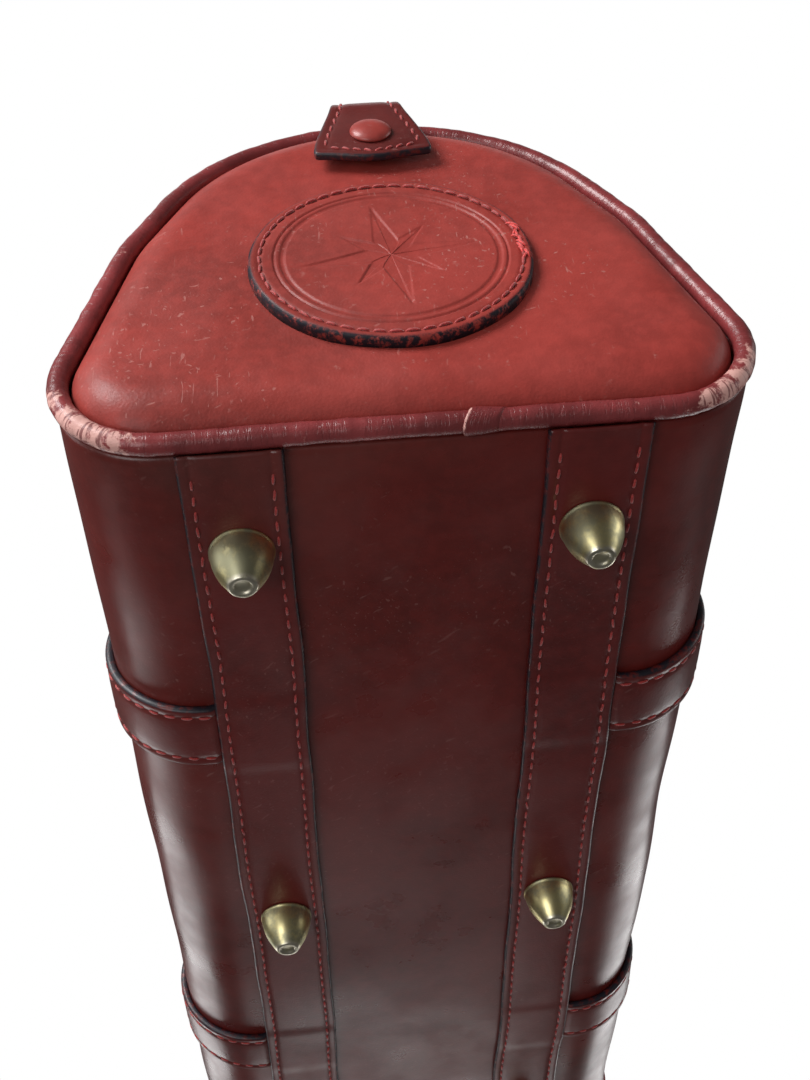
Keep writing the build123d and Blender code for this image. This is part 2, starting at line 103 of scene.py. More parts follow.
class BagSizes(bpy.types.PropertyGroup):
    """Sizes of the bag's leather, trim and fittings."""
    corner_half: length("Corner half spacing", 0.062, "From the middle plane to a corner round")
    corner_radius: length("Corner radius", 0.0265, "Bottom corner of the cross-section")
    flank_half: length("Flank half spacing", 0.0225, "From the middle plane to a flank round")
    flank_radius: length("Flank radius", 0.0545, "Bulge of the flanks")
    flank_height: length("Flank height", 0.066, "Flank round's centre above the base")
    top_radius: length("Top radius", 0.0695, "Rounded back of the bag")
    top_height: length("Top height", 0.0775, "That round's centre above the base")
    leather: length("Leather", 0.0022, "Thickness of the body leather")
    slump: length("Slump", 0.0010, "How far the leather gives between its seams")
    pucker: length("Pucker", 0.00055, "Creases beside the end pipings")
    piping_radius: length("Piping radius", 0.0029, "Half the diameter of the end piping")
    piping_sunk: length("Piping sunk", 0.0012, "Piping's centre below the leather's face")
    shoulder: length("Shoulder", 0.012, "Width of the end panel's rounded edge")
    pad_crown: length("Pad crown", 0.0007, "Extra swell at the middle of an end panel")
    strip_width: length("Strip width", 0.0264, "Width of a base strip")
    strip_thick: length("Strip thickness", 0.0025, "Thickness of a base strip")
    strap_width: length("Strap width", 0.025, "Width of a cross strap")
    strap_thick: length("Strap thickness", 0.0026, "Thickness of a cross strap")
    stitch_inset: length("Stitch inset", 0.0033, "From a sewn edge to its stitches")
    stitch_pitch: length("Stitch pitch", 0.0052, "From one stitch to the next")
    thread: length("Thread", 0.00042, "Half the thickness of the thread")
    roll_radius: length("Roll radius", 0.006, "Half the diameter of a handle")
    handle_rise: length("Handle rise", 0.115, "Height of a grip above the necks, along the handle")
    handle_bend: length("Handle bend", 0.060, "Radius of a handle's two bends")
    tooth_pitch: length("Tooth pitch", 0.0026, "From one zip tooth to the next in its row")


class BagColours(bpy.types.PropertyGroup):
    """Colours of the bag's leather and fittings."""
    # Body and ends are one leather in two copies: body is darkened as painted shade, ends is
    # lightened as painted light.
    body: colour("Body leather", (0.105, 0.010, 0.008), "Main leather")
    ends: colour("Lit end leather", (0.275, 0.035, 0.028), "Leather of the crowned ends")
    trim: colour("Trim leather", (0.100, 0.010, 0.009), "Strips, straps and tabs")
    piping: colour("Piping leather", (0.200, 0.030, 0.032), "Piping where it isn't worn")
    rubbed: colour("Rubbed leather", (0.620, 0.330, 0.290), "Leather where its finish is gone")
    edge_paint: colour("Edge paint", (0.010, 0.009, 0.016), "Painted leather edges")
    thread: colour("Thread", (0.340, 0.022, 0.020), "Sewing thread")
    mending: colour("Mending thread", (0.620, 0.035, 0.030), "Brighter thread of a repair")
    brass: colour("Brass", (0.900, 0.790, 0.410), "Antique brass")
    tarnish: colour("Tarnish", (0.500, 0.480, 0.310), "Darkened brass")
    bright: colour("Bright brass", (0.880, 0.820, 0.660), "Brass rubbed bright")
    lining: colour("Lining", (0.150, 0.060, 0.050), "Lining cloth")
    tape: colour("Tape", (0.050, 0.010, 0.010), "Zip tape")


class StageSettings(bpy.types.PropertyGroup):
    """Camera, floor and lights."""
    lens: amount("Lens", 46.8, "Focal length in millimetres on a 36 mm long side")
    camera_x: length("Camera X", 0.4223, "Camera's place along the bag")
    camera_y: length("Camera Y", -0.0292, "Camera's place across the bag")
    camera_z: length("Camera Z", -0.2444, "Camera's height")
    view_x: amount("View X", -0.6945, "Viewing direction along the bag")
    view_y: amount("View Y", 0.0718, "Viewing direction across the bag")
    view_z: amount("View Z", 0.7159, "Viewing direction upwards")
    roll: bpy.props.FloatProperty(name="Roll", default=math.radians(8.7), subtype="ANGLE",
                                  description="Turn of the camera about its own view")
    floor: colour("Floor", (0.86, 0.86, 0.86), "Pale floor")
    backdrop: colour("Backdrop", (1.0, 1.0, 1.0), "What the camera sees behind the bag")
    room: amount("Room light", 0.26, "Strength of the light from all round")
    gleam: amount("Room in gloss", 0.06, "Strength of that light where surfaces mirror it")
    key: amount("Key light", 28.0, "Power of the large light above the right end, in watts")
    fill: amount("Fill light", 4.0, "Power of each side light, in watts")
    low: amount("Low light", 5.0, "Power of the light from below, in watts")
    glow: amount("Glow", 4.0, "Power of each light past the left end, in watts")


def sizes():
    """Sizes in use."""
    return bpy.context.scene.bag_sizes


def colours():
    """Colours in use."""
    return bpy.context.scene.bag_colours


# Places read from the solid model

base_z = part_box("base_panel")[0].z
panel_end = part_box("base_panel")[1].x
strip_y = (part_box("base_strip_back")[0].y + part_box("base_strip_back")[1].y) / 2
mouth_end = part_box("zip_facing_back")[1].x
mouth_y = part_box("zip_facing_back")[1].y
facing_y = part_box("zip_facing_back")[0].y
piping_x = (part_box("piping_cord_right")[0].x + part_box("piping_cord_right")[1].x) / 2
end_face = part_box("end_panel_right")[1].x
seam_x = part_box("end_panel_right")[0].x
strap_x = (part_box("strap_right_back")[0].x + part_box("strap_right_back")[1].x) / 2
strap_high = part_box("strap_right_back")[1].z


def joint(name):
    """One joint of the frame, by name."""
    return next(item for item in frame["joints"] if item["name"] == name)


# The bag's skin

def skin_table():
    """Half of the cross-section as arrays of s, y, z and the normal's angle.

    It is the hull of the corner, flank and top rounds: a flat base, then three arcs that meet at
    the angle where both rounds have the same tangent, with a straight run between them.
    """
    z = sizes()
    rounds = [(z.corner_half, z.corner_radius, z.corner_radius),
              (z.flank_half, z.flank_height, z.flank_radius),
              (0.0, z.top_height, z.top_radius)]
    joins = [-math.pi / 2]
    for (y_a, z_a, r_a), (y_b, z_b, r_b) in zip(rounds, rounds[1:]):
        apart = math.hypot(y_b - y_a, z_b - z_a)
        joins.append(math.atan2(z_b - z_a, y_b - y_a) - math.acos((r_a - r_b) / apart))
    joins.append(math.pi / 2)
    angle = [np.array([-math.pi / 2])]
    y_run = [np.array([0.0])]
    z_run = [np.array([0.0])]
    for (y_c, z_c, radius), start, end in zip(rounds, joins, joins[1:]):
        turn = np.linspace(start, end, 200)
        angle.append(turn)
        y_run.append(y_c + radius * np.cos(turn))
        z_run.append(z_c + radius * np.sin(turn))
    y_all, z_all, angle_all = map(np.concatenate, (y_run, z_run, angle))
    s_all = np.concatenate([[0.0], np.cumsum(np.hypot(np.diff(y_all), np.diff(z_all)))])
    return s_all, y_all, z_all, angle_all


def around(s, h=0.0):
    """y, z and the outward normal's y, z at s round the cross-section, h above the leather."""
    table_s, table_y, table_z, table_angle = skin_table()
    side = np.where(np.asarray(s) < 0, -1.0, 1.0)
    run = np.abs(s)
    angle = np.interp(run, table_s, table_angle)
    out_y = np.cos(angle)
    out_z = np.sin(angle)
    y = np.interp(run, table_s, table_y) + out_y * h
    z = np.interp(run, table_s, table_z) + out_z * h
    return side * y, base_z + z, side * out_y, out_z


def half_round():
    """Length of half the cross-section's outline."""
    return skin_table()[0][-1]


def s_at_top(y):
    """s of the point on the back's top round that lies y from the middle plane."""
    z = sizes()
    return half_round() - z.top_radius * math.asin(y / z.top_radius)


def s_at_height(height):
    """s of the flank point at a height above the base."""
    table_s, _, table_z, _ = skin_table()
    return float(np.interp(height, table_z, table_s))


def ripple(u, v, wave, seed):
    """Smooth uneven surface from -1 to 1: the mean of six sines in chosen directions."""
    rng = np.random.default_rng(seed)
    total = 0.0
    for _ in range(6):
        turn = rng.uniform(0, 2 * math.pi)
        scale = 2 * math.pi / (wave * rng.uniform(0.7, 1.6))
        total = total + np.sin((u * math.cos(turn) + v * math.sin(turn)) * scale
                               + rng.uniform(0, 2 * math.pi))
    return total / 3.2


def soften(value):
    """Smooth step from 0 at 0 to 1 at 1."""
    t = np.clip(value, 0.0, 1.0)
    return t * t * (3 - 2 * t)


def give(x, s):
    """How far the leather lies off the plain section: slumped between its seams, puckered by them.

    The slump fades over 45 mm towards each end, and the puckers are ripples along s that fade
    over 20 mm away from it.
    """
    z = sizes()
    from_end = np.maximum(panel_end - np.abs(x), 0.0)
    run = np.abs(s)
    open_skin = soften(from_end / 0.045)
    slump = (0.55 * ripple(x, s, 0.120, 3) + 0.25 * ripple(x, s, 0.045, 4) - 0.35) * open_skin
    flank = soften((run - 0.055) / 0.03)
    folds = ripple(x * 0.35, s, 0.017, 7) * np.exp(-from_end / 0.020)
    folds = folds * (1 - np.exp(-from_end / 0.0035))
    return z.slump * slump * (0.35 + 0.65 * flank) + z.pucker * folds * (0.35 + 0.65 * flank)


def place(x, s, h):
    """Points on the bag's skin, h above the leather."""
    lift = h + give(x, s)
    y, z, _, _ = around(s, lift)
    x, y, z = np.broadcast_arrays(x, y, z)
    return np.stack([x, y, z], axis=-1)


# Meshes

def make_piece(name, points, faces, material, body, uv=None, paint=None):
    """Mesh object from arrays of points and faces, riding on a body.

    body is a body's name, on which the piece then rides, or two names and two points, which are
    not used: the piece then rides on no body and does not bend.
    """
    mesh = bpy.data.meshes.new(name)
    mesh.from_pydata(np.asarray(points).reshape(-1, 3).tolist(), [], faces)
    mesh.polygons.foreach_set("use_smooth", np.ones(len(mesh.polygons), dtype=bool))
    if uv is not None:
        layer = mesh.uv_layers.new(name="Skin")
        loops = np.empty(len(mesh.loops), dtype=np.int32)
        mesh.loops.foreach_get("vertex_index", loops)
        flat = np.asarray(uv, dtype=np.float32).reshape(-1, 2)
        layer.data.foreach_set("uv", flat[loops].ravel())
    if paint is not None:
        layer = mesh.attributes.new("paint", "FLOAT", "POINT")
        layer.data.foreach_set("value", np.asarray(paint, dtype=np.float32).ravel())
    mesh.validate()
    mesh.update()
    piece = bpy.data.objects.new(name, mesh)
    bpy.context.collection.objects.link(piece)
    piece.data.materials.append(material)
    if signed_volume(mesh) < 0:
        mesh.flip_normals()
    if isinstance(body, str):
        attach(piece, body)
    else:
        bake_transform(piece)
    return piece


def signed_volume(mesh):
    """Volume inside a closed mesh, negative if its faces point inwards."""
    mesh.calc_loop_triangles()
    index = np.empty(len(mesh.loop_triangles) * 3, dtype=np.int32)
    mesh.loop_triangles.foreach_get("vertices", index)
    points = np.empty(len(mesh.vertices) * 3)
    mesh.vertices.foreach_get("co", points)
    a, b, c = points.reshape(-1, 3)[index].reshape(-1, 3, 3).transpose(1, 0, 2)
    return float(np.einsum("ij,ij->i", a, np.cross(b, c)).sum() / 6)


def quads(rows, columns, closed=False, first=0):
    """Quads of a grid of points, row by row; closed joins the last column to the first."""
    i = np.arange(rows - 1)[:, None]
    j = np.arange(columns if closed else columns - 1)[None, :]
    k = (j + 1) % columns
    corners = [i * columns + j, i * columns + k, (i + 1) * columns + k, (i + 1) * columns + j]
    return (np.stack(np.broadcast_arrays(*corners), axis=-1).reshape(-1, 4) + first).tolist()


def rings_piece(name, rings, material, body, loop=False, uv=None, paint=None):
    """Closed surface through a stack of rings: its ends are closed by poles, or it is a loop."""
    count, around_count = rings.shape[:2]
    if loop:
        faces = quads(count + 1, around_count, closed=True)
        faces = (np.array(faces) % (count * around_count)).tolist()
        return make_piece(name, rings, faces, material, body, uv, paint)
    poles = [rings[0].mean(0)[None], rings[-1].mean(0)[None]]
    points = np.concatenate([rings.reshape(-1, 3), *poles])
    faces = quads(count, around_count, closed=True)
    start = count * around_count
    here = np.arange(around_count)
    after = (here + 1) % around_count
    faces += np.stack([after, here, np.full(around_count, start)], axis=-1).tolist()
    last = (count - 1) * around_count
    faces += np.stack([last + here, last + after, np.full(around_count, start + 1)], -1).tolist()
    if uv is not None:
        uv = np.concatenate([uv.reshape(-1, 2), uv[0].mean(0)[None], uv[-1].mean(0)[None]])
    if paint is not None:
        paint = np.concatenate([paint.ravel(), [paint[0].mean()], [paint[-1].mean()]])
    return make_piece(name, points, faces, material, body, uv, paint)


def edge_steps(width, middle_step=0.004):
    """Positions across a strip: close together at its edges and stitch lines, wide between."""
    near = np.array([0.0, 0.08, 0.25, 0.5, 0.9, 1.5, 2.2, 2.7, 3.0, 3.3, 3.6, 3.9, 4.5, 5.5]) * MM
    inner = width - 2 * near[-1]
    if inner <= 0:
        near = near[near < width / 2 - 0.4 * MM]
        inner = width - 2 * near[-1]
    count = max(2, int(inner / middle_step) + 1)
    return np.concatenate([near, near[-1] + inner * np.arange(1, count) / count,
                           width - near[::-1]]) - width / 2


def slab_piece(name, spot, along, across, inset, low, thick, material, body,
               groove=0.0, edge_round=None, swell=0.0):
    """Sheet of leather: a top and a bottom grid that meet in a rounded edge.

    spot turns (along, across, height) into points. inset is each point's distance from the
    nearest edge. The half thickness follows a quarter circle over edge_round from the edge, and
    the top dips by groove along the stitch line.
    """
    edge_round = edge_round or thick / 2
    rise = np.sqrt(1 - (1 - np.clip(inset / edge_round, 0, 1)) ** 2)
    line = np.exp(-((inset - sizes().stitch_inset) / (0.75 * MM)) ** 2)
    top = low + thick / 2 + rise * thick / 2 - groove * line
    top = top + swell * soften((inset - sizes().stitch_inset) / (4 * MM))
    bottom = low + thick / 2 - rise * thick / 2
    rows, columns = inset.shape
    inner = np.ones((rows, columns), dtype=bool)
    inner[0, :] = inner[-1, :] = inner[:, 0] = inner[:, -1] = False
    number = np.arange(rows * columns).reshape(rows, columns).copy()
    number[inner] = rows * columns + np.arange(inner.sum())
    upper = spot(along, across, top)
    lower = spot(along, across, bottom)
    points = np.concatenate([upper.reshape(-1, 3), lower[inner]])
    faces = quads(rows, columns)
    under = [number[:-1, :-1], number[1:, :-1], number[1:, 1:], number[:-1, 1:]]
    faces += np.stack(under, axis=-1).reshape(-1, 4).tolist()
    flat_uv = np.stack(np.broadcast_arrays(along, across), axis=-1)
    uv = np.concatenate([flat_uv.reshape(-1, 2), flat_uv[inner]])
    paint = 1 - soften((inset - 0.35 * MM) / edge_paint_fades)
    paint = np.concatenate([paint.ravel(), paint[inner]])
    return make_piece(name, points, faces, material, body, uv, paint)


def stitches(name, points, run, out, material, body, length_along=None, seed=1):
    """Short threads lying on a seam: long narrow beads at points, pointing along run.

    Each bead is a stack of rings whose radius follows the square root of a sine, pressed into the
    leather at its ends, with a little unevenness of direction and length.
    """
    z = sizes()
    rng = np.random.default_rng(seed)
    count = len(points)
    long = (length_along or z.stitch_pitch * 0.74) * rng.uniform(0.9, 1.08, count)
    run = run / np.linalg.norm(run, axis=-1, keepdims=True)
    out = out / np.linalg.norm(out, axis=-1, keepdims=True)
    aside = np.cross(out, run)
    run = run + aside * rng.normal(0, 0.07, (count, 1))
    t = np.linspace(-1, 1, 7)
    turn = np.linspace(0, 2 * math.pi, 6, endpoint=False)
    radius = z.thread * np.sqrt(np.clip(1 - t ** 4, 0.03, 1))
    drop = -0.45 * MM * np.abs(t) ** 3
    axis = points[:, None, :] + run[:, None, :] * (t[None, :, None] * long[:, None, None] / 2)
    axis = axis + out[:, None, :] * drop[None, :, None]
    bead = axis[:, :, None, :] + radius[None, :, None, None] * (
        aside[:, None, None, :] * np.cos(turn)[None, None, :, None]
        + out[:, None, None, :] * np.sin(turn)[None, None, :, None])
    rows, columns = len(t), len(turn)
    faces = np.array(quads(rows, columns, closed=True))
    faces = (faces[None] + np.arange(count)[:, None, None] * rows * columns).reshape(-1, 4)
    ends = []
    for shift, order in ((0, [5, 4, 3, 2, 1, 0]), ((rows - 1) * columns, [0, 1, 2, 3, 4, 5])):
        corner = np.arange(count)[:, None] * rows * columns + shift + np.array(order)[None]
        ends += corner.tolist()
    return make_piece(name, bead, faces.tolist() + ends, material, body)


# Shader building

class Shader:
    """Small helper that adds and joins shader nodes in a material or a node group."""

    def __init__(self, tree):
        self.tree = tree

    def add(self, kind, values=None, **settings):
        """New node with settings, its inputs set to values or joined to sockets."""
        node = self.tree.nodes.new(kind)
        for key, value in settings.items():
            setattr(node, key, value)
        for key, value in (values or {}).items():
            if isinstance(value, bpy.types.NodeSocket):
                self.tree.links.new(value, node.inputs[key])
            else:
                node.inputs[key].default_value = value
        return node

    def math(self, operation, first, second=0.0, clamp=False):
        """Result of one operation on two numbers or sockets."""
        node = self.add("ShaderNodeMath", {0: first, 1: second}, operation=operation,
                        use_clamp=clamp)
        return node.outputs[0]

    def mix(self, factor, first, second):
        """Mix of two colours."""
        node = self.add("ShaderNodeMix", data_type="RGBA", clamp_factor=True)
        for key, value in (("Factor", factor), ("A", first), ("B", second)):
            sockets = [item for item in node.inputs if item.name == key]
            socket = sockets[0] if key == "Factor" else sockets[2]
            if isinstance(value, bpy.types.NodeSocket):
                self.tree.links.new(value, socket)
            else:
                socket.default_value = value if key == "Factor" else (*value, 1.0)
        return node.outputs[2]

    def ramp(self, value, low, high, to_low=0.0, to_high=1.0):
        """Value mapped smoothly from low..high onto to_low..to_high."""
        node = self.add("ShaderNodeMapRange", {"Value": value, "From Min": low, "From Max": high,
                                               "To Min": to_low, "To Max": to_high},
                        interpolation_type="SMOOTHSTEP")
        return node.outputs["Result"]

    def noise(self, vector, scale, detail=3.0, roughness=0.55, distortion=0.0):
        """Noise value."""
        node = self.add("ShaderNodeTexNoise", {"Vector": vector, "Scale": scale, "Detail": detail,
                                               "Roughness": roughness, "Distortion": distortion})
        return node.outputs["Fac"]

    def stretch(self, vector, scale, rotation=(0.0, 0.0, 0.0)):
        """Vector turned, then scaled along its new axes."""
        turned = self.add("ShaderNodeMapping", {"Vector": vector, "Rotation": rotation})
        node = self.add("ShaderNodeMapping", {"Vector": turned.outputs["Vector"],
                                              "Scale": scale})
        return node.outputs["Vector"]

    def bump(self, height, strength, distance):
        """Normal from a height."""
        node = self.add("ShaderNodeBump", {"Height": height, "Strength": strength,
                                           "Distance": distance})
        return node.outputs["Normal"]


def new_group(name, inputs, outputs):
    """Empty node group with named sockets, and its builder, inputs and outputs."""
    tree = bpy.data.node_groups.new(name, "ShaderNodeTree")
    for label, kind, default in inputs:
        socket = tree.interface.new_socket(label, in_out="INPUT", socket_type=kind)
        if default is not None:
            socket.default_value = default
    for label, kind in outputs:
        tree.interface.new_socket(label, in_out="OUTPUT", socket_type=kind)
    shader = Shader(tree)
    source = tree.nodes.new("NodeGroupInput")
    target = tree.nodes.new("NodeGroupOutput")
    return tree, shader, source, target


def grain_group():
    """Leather grain: fine pebbles, pores and faint wrinkles, as one height, and the mask of its
    creases that the leather darkens as painted shade.
    """
    name = "leather grain"
    if name in bpy.data.node_groups:
        return bpy.data.node_groups[name]
    tree, shader, source, target = new_group(
        name, [("Vector", "NodeSocketVector", None), ("Fineness", "NodeSocketFloat", 1.0)],
        [("Height", "NodeSocketFloat"), ("Crease shade", "NodeSocketFloat")])
    vector = shader.add("ShaderNodeVectorMath", {0: source.outputs["Vector"],
                                                 "Scale": source.outputs["Fineness"]},
                        operation="SCALE").outputs["Vector"]
    pebbles = shader.add("ShaderNodeTexVoronoi", {"Vector": vector, "Scale": 1150.0,
                                                  "Randomness": 1.0}).outputs["Distance"]
    fine = shader.noise(vector, 1700.0, 2.0)
    bent = shader.noise(vector, 90.0, 3.0)
    lines = shader.add("ShaderNodeTexVoronoi", {"Vector": vector, "Scale": 420.0,
                                                "Randomness": 1.0},
                       feature="DISTANCE_TO_EDGE").outputs["Distance"]
    creases = shader.ramp(lines, 0.0, 0.09, 1.0, 0.0)
    patchy = shader.ramp(bent, 0.56, 0.74)
    creases = shader.math("MULTIPLY", creases, patchy)
    height = shader.math("ADD", shader.math("MULTIPLY", pebbles, 0.55),
                         shader.math("MULTIPLY", fine, 0.30))
    height = shader.math("SUBTRACT", height, shader.math("MULTIPLY", creases, 0.15))
    tree.links.new(height, target.inputs["Height"])
    tree.links.new(creases, target.inputs["Crease shade"])
    return tree


def scuff_group():
    """Scratches and rubbed spots: thin strokes in three directions, in patches.

    A stroke is noise drawn out long along one turned axis, so only its peaks show.
    """
    name = "scuffs"
    if name in bpy.data.node_groups:
        return bpy.data.node_groups[name]
    tree, shader, source, target = new_group(
        name, [("Vector", "NodeSocketVector", None), ("Amount", "NodeSocketFloat", 0.5)],
        [("Scratches", "NodeSocketFloat"), ("Rubbed", "NodeSocketFloat")])
    vector = source.outputs["Vector"]
    strokes = []
    for turn, scale in ((0.6, 62.0), (-0.8, 48.0), (2.3, 75.0)):
        drawn = shader.stretch(vector, (scale * 0.6, scale * 14, scale * 14),
                               (turn, turn * 0.8, turn))
        line = shader.noise(drawn, 1.0, 2.0, 0.4, 0.4)
        strokes.append(shader.ramp(line, 0.685, 0.75))
    patches = shader.ramp(shader.noise(vector, 22.0, 3.0), 0.46, 0.62)
    scratch = shader.math("MAXIMUM", shader.math("MAXIMUM", strokes[0], strokes[1]), strokes[2])
    scratch = shader.math("MULTIPLY", scratch, patches)
    scratch = shader.math("MULTIPLY", scratch, source.outputs["Amount"], clamp=True)
    spots = shader.ramp(shader.noise(vector, 260.0, 6.0, 0.7), 0.62, 0.76)
    broad = shader.ramp(shader.noise(vector, 14.0, 2.0), 0.42, 0.66)
    rubbed = shader.math("MULTIPLY", shader.math("MULTIPLY", spots, broad),
                         source.outputs["Amount"], clamp=True)
    tree.links.new(scratch, target.inputs["Scratches"])
    tree.links.new(rubbed, target.inputs["Rubbed"])
    return tree


def new_material(name):
    """Empty node material with its builder, Principled shader and object coordinates."""
    material = bpy.data.materials.new(name)
    material.use_nodes = True
    material.node_tree.nodes.clear()
    shader = Shader(material.node_tree)
    output = shader.add("ShaderNodeOutputMaterial")
    surface = shader.add("ShaderNodeBsdfPrincipled")
    material.node_tree.links.new(surface.outputs["BSDF"], output.inputs["Surface"])
    place_on = shader.add("ShaderNodeTexCoord").outputs["Object"]
    return material, shader, surface, place_on


def finish_surface(shader, surface, **values):
    """Sets or joins the Principled shader's inputs, named with underscores for spaces."""
    for key, value in values.items():
        socket = surface.inputs[key.replace("_", " ")]
        if isinstance(value, bpy.types.NodeSocket):
            shader.tree.links.new(value, socket)
        elif isinstance(value, tuple):
            socket.default_value = (*value, 1.0)
        else:
            socket.default_value = value


def shade(tone, factor):
    """Colour made lighter or darker."""
    return tuple(min(1.0, value * factor) for value in tone)


def leather_material(name, tone, gloss=0.34, scuffs=0.5, haze=0.25, fineness=1.0, painted=False,
                     bump=0.20, mirror=0.5):
    """Waxed leather: mottled dye, fine grain with painted shade in its creases, scratches, rubbed
    spots and painted edges.
    """
    if name in bpy.data.materials:
        return bpy.data.materials[name]
    material, shader, surface, spot = new_material(name)
    tone = tuple(tone)
    tint = colours()
    mottle = shader.ramp(shader.noise(spot, 17.0, 4.0, 0.6), 0.32, 0.68)
    colour_now = shader.mix(mottle, shade(tone, 0.80), shade(tone, 1.22))
    fine_mottle = shader.ramp(shader.noise(spot, 230.0, 3.0, 0.6), 0.35, 0.7)
    colour_now = shader.mix(shader.math("MULTIPLY", fine_mottle, 0.28), colour_now,
                            shade(tone, 1.7))
    grain = shader.add("ShaderNodeGroup", node_tree=grain_group())
    shader.tree.links.new(spot, grain.inputs["Vector"])
    grain.inputs["Fineness"].default_value = fineness
    wear = shader.add("ShaderNodeGroup", node_tree=scuff_group())
    shader.tree.links.new(spot, wear.inputs["Vector"])
    wear.inputs["Amount"].default_value = scuffs
    scratches = wear.outputs["Scratches"]
    rubbed = wear.outputs["Rubbed"]
    # Painted shade: the colour darkens in the grain's creases.
    colour_now = shader.mix(shader.math("MULTIPLY", grain.outputs["Crease shade"], 0.12), colour_now,
                            shade(tone, 0.6))
    pale = tuple(0.55 * a + 0.45 * b for a, b in zip(tone, tint.rubbed))
    colour_now = shader.mix(shader.math("MULTIPLY", rubbed, 0.75), colour_now, pale)
    colour_now = shader.mix(shader.math("MULTIPLY", scratches, 0.65), colour_now, pale)
    dusty = shader.ramp(shader.noise(spot, 7.0, 4.0, 0.6, 0.6), 0.45, 0.72)
    dusty = shader.math("MULTIPLY", dusty, haze)
    colour_now = shader.mix(dusty, colour_now, dust)
    rough = shader.ramp(shader.noise(spot, 38.0, 4.0, 0.6), 0.3, 0.7, gloss - 0.07, gloss + 0.10)
    rough = shader.math("ADD", rough, shader.math("MULTIPLY", scratches, 0.22))
    rough = shader.math("ADD", rough, shader.math("MULTIPLY", dusty, 0.35))
    height = shader.math("SUBTRACT", grain.outputs["Height"],
                         shader.math("MULTIPLY", scratches, 0.35))
    wrinkles = shader.noise(shader.stretch(spot, (26.0, 60.0, 60.0)), 1.0, 3.0, 0.5, 0.8)
    height = shader.math("ADD", height, shader.math("MULTIPLY", wrinkles, 2.6))
    if painted:
        paint = shader.add("ShaderNodeAttribute", attribute_name="paint").outputs["Fac"]
        chips = shader.ramp(shader.noise(spot, 330.0, 4.0, 0.7), 0.36, 0.52)
        paint = shader.math("MULTIPLY", paint, chips)
        colour_now = shader.mix(paint, colour_now, tuple(tint.edge_paint))
        rough = shader.math("ADD", rough, shader.math("MULTIPLY", paint, 0.12))
    finish_surface(shader, surface, Base_Color=colour_now, Roughness=rough,
                   Normal=shader.bump(height, bump, 0.00022), Coat_Weight=0.2 * mirror,
                   Coat_Roughness=0.16, Specular_IOR_Level=mirror)
    return material


def piping_material():
    """Piping leather: rubbed pale at the bottom corners, with fine cracks across the cord.

    The attribute "paint" holds how rubbed each place is. The cracks are noise drawn out round
    the cord, so they cross it.
    """
    name = "piping leather"
    if name in bpy.data.materials:
        return bpy.data.materials[name]
    material, shader, surface, spot = new_material(name)
    tint = colours()
    tone = tuple(tint.piping)
    rubbed_at = shader.add("ShaderNodeAttribute", attribute_name="paint").outputs["Fac"]
    ragged = shader.noise(spot, 210.0, 5.0, 0.7)
    flaked = shader.math("MULTIPLY", shader.math("SUBTRACT", ragged, 0.5), 2.2)
    worn = shader.ramp(shader.math("ADD", rubbed_at, flaked), 0.62, 0.84)
    unwrapped = shader.add("ShaderNodeUVMap", uv_map="Skin").outputs["UV"]
    across = shader.stretch(unwrapped, (760.0, 95.0, 1.0))
    cracks = shader.ramp(shader.noise(across, 1.0, 3.0, 0.65, 0.5), 0.53, 0.61)
    mottle = shader.ramp(shader.noise(spot, 60.0, 4.0, 0.6), 0.3, 0.7)
    colour_now = shader.mix(mottle, shade(tone, 0.72), shade(tone, 1.35))
    colour_now = shader.mix(worn, colour_now, tuple(tint.rubbed))
    in_worn = shader.math("MULTIPLY", cracks, shader.ramp(worn, 0.0, 1.0, 0.35, 0.85))
    colour_now = shader.mix(in_worn, colour_now, shade(tone, 0.75))
    grain = shader.add("ShaderNodeGroup", node_tree=grain_group())
    shader.tree.links.new(spot, grain.inputs["Vector"])
    grain.inputs["Fineness"].default_value = 1.2
    height = shader.math("SUBTRACT", grain.outputs["Height"],
                         shader.math("MULTIPLY", cracks, 0.9))
    rough = shader.ramp(worn, 0.0, 1.0, 0.36, 0.62)
    finish_surface(shader, surface, Base_Color=colour_now, Roughness=rough,
                   Normal=shader.bump(height, 0.35, 0.00025), Coat_Weight=0.12,
                   Coat_Roughness=0.2)
    return material


def thread_material(name, tone):
    """Waxed thread: fine twist lines and a slight sheen."""
    if name in bpy.data.materials:
        return bpy.data.materials[name]
    material, shader, surface, spot = new_material(name)
    twist = shader.noise(shader.stretch(spot, (2600.0, 2600.0, 2600.0)), 1.0, 2.0)
    colour_now = shader.mix(shader.ramp(twist, 0.3, 0.7), shade(tuple(tone), 0.65),
                            shade(tuple(tone), 1.35))
    finish_surface(shader, surface, Base_Color=colour_now, Roughness=0.55,
                   Normal=shader.bump(twist, 0.5, 0.0001), Sheen_Weight=0.3)
    return material


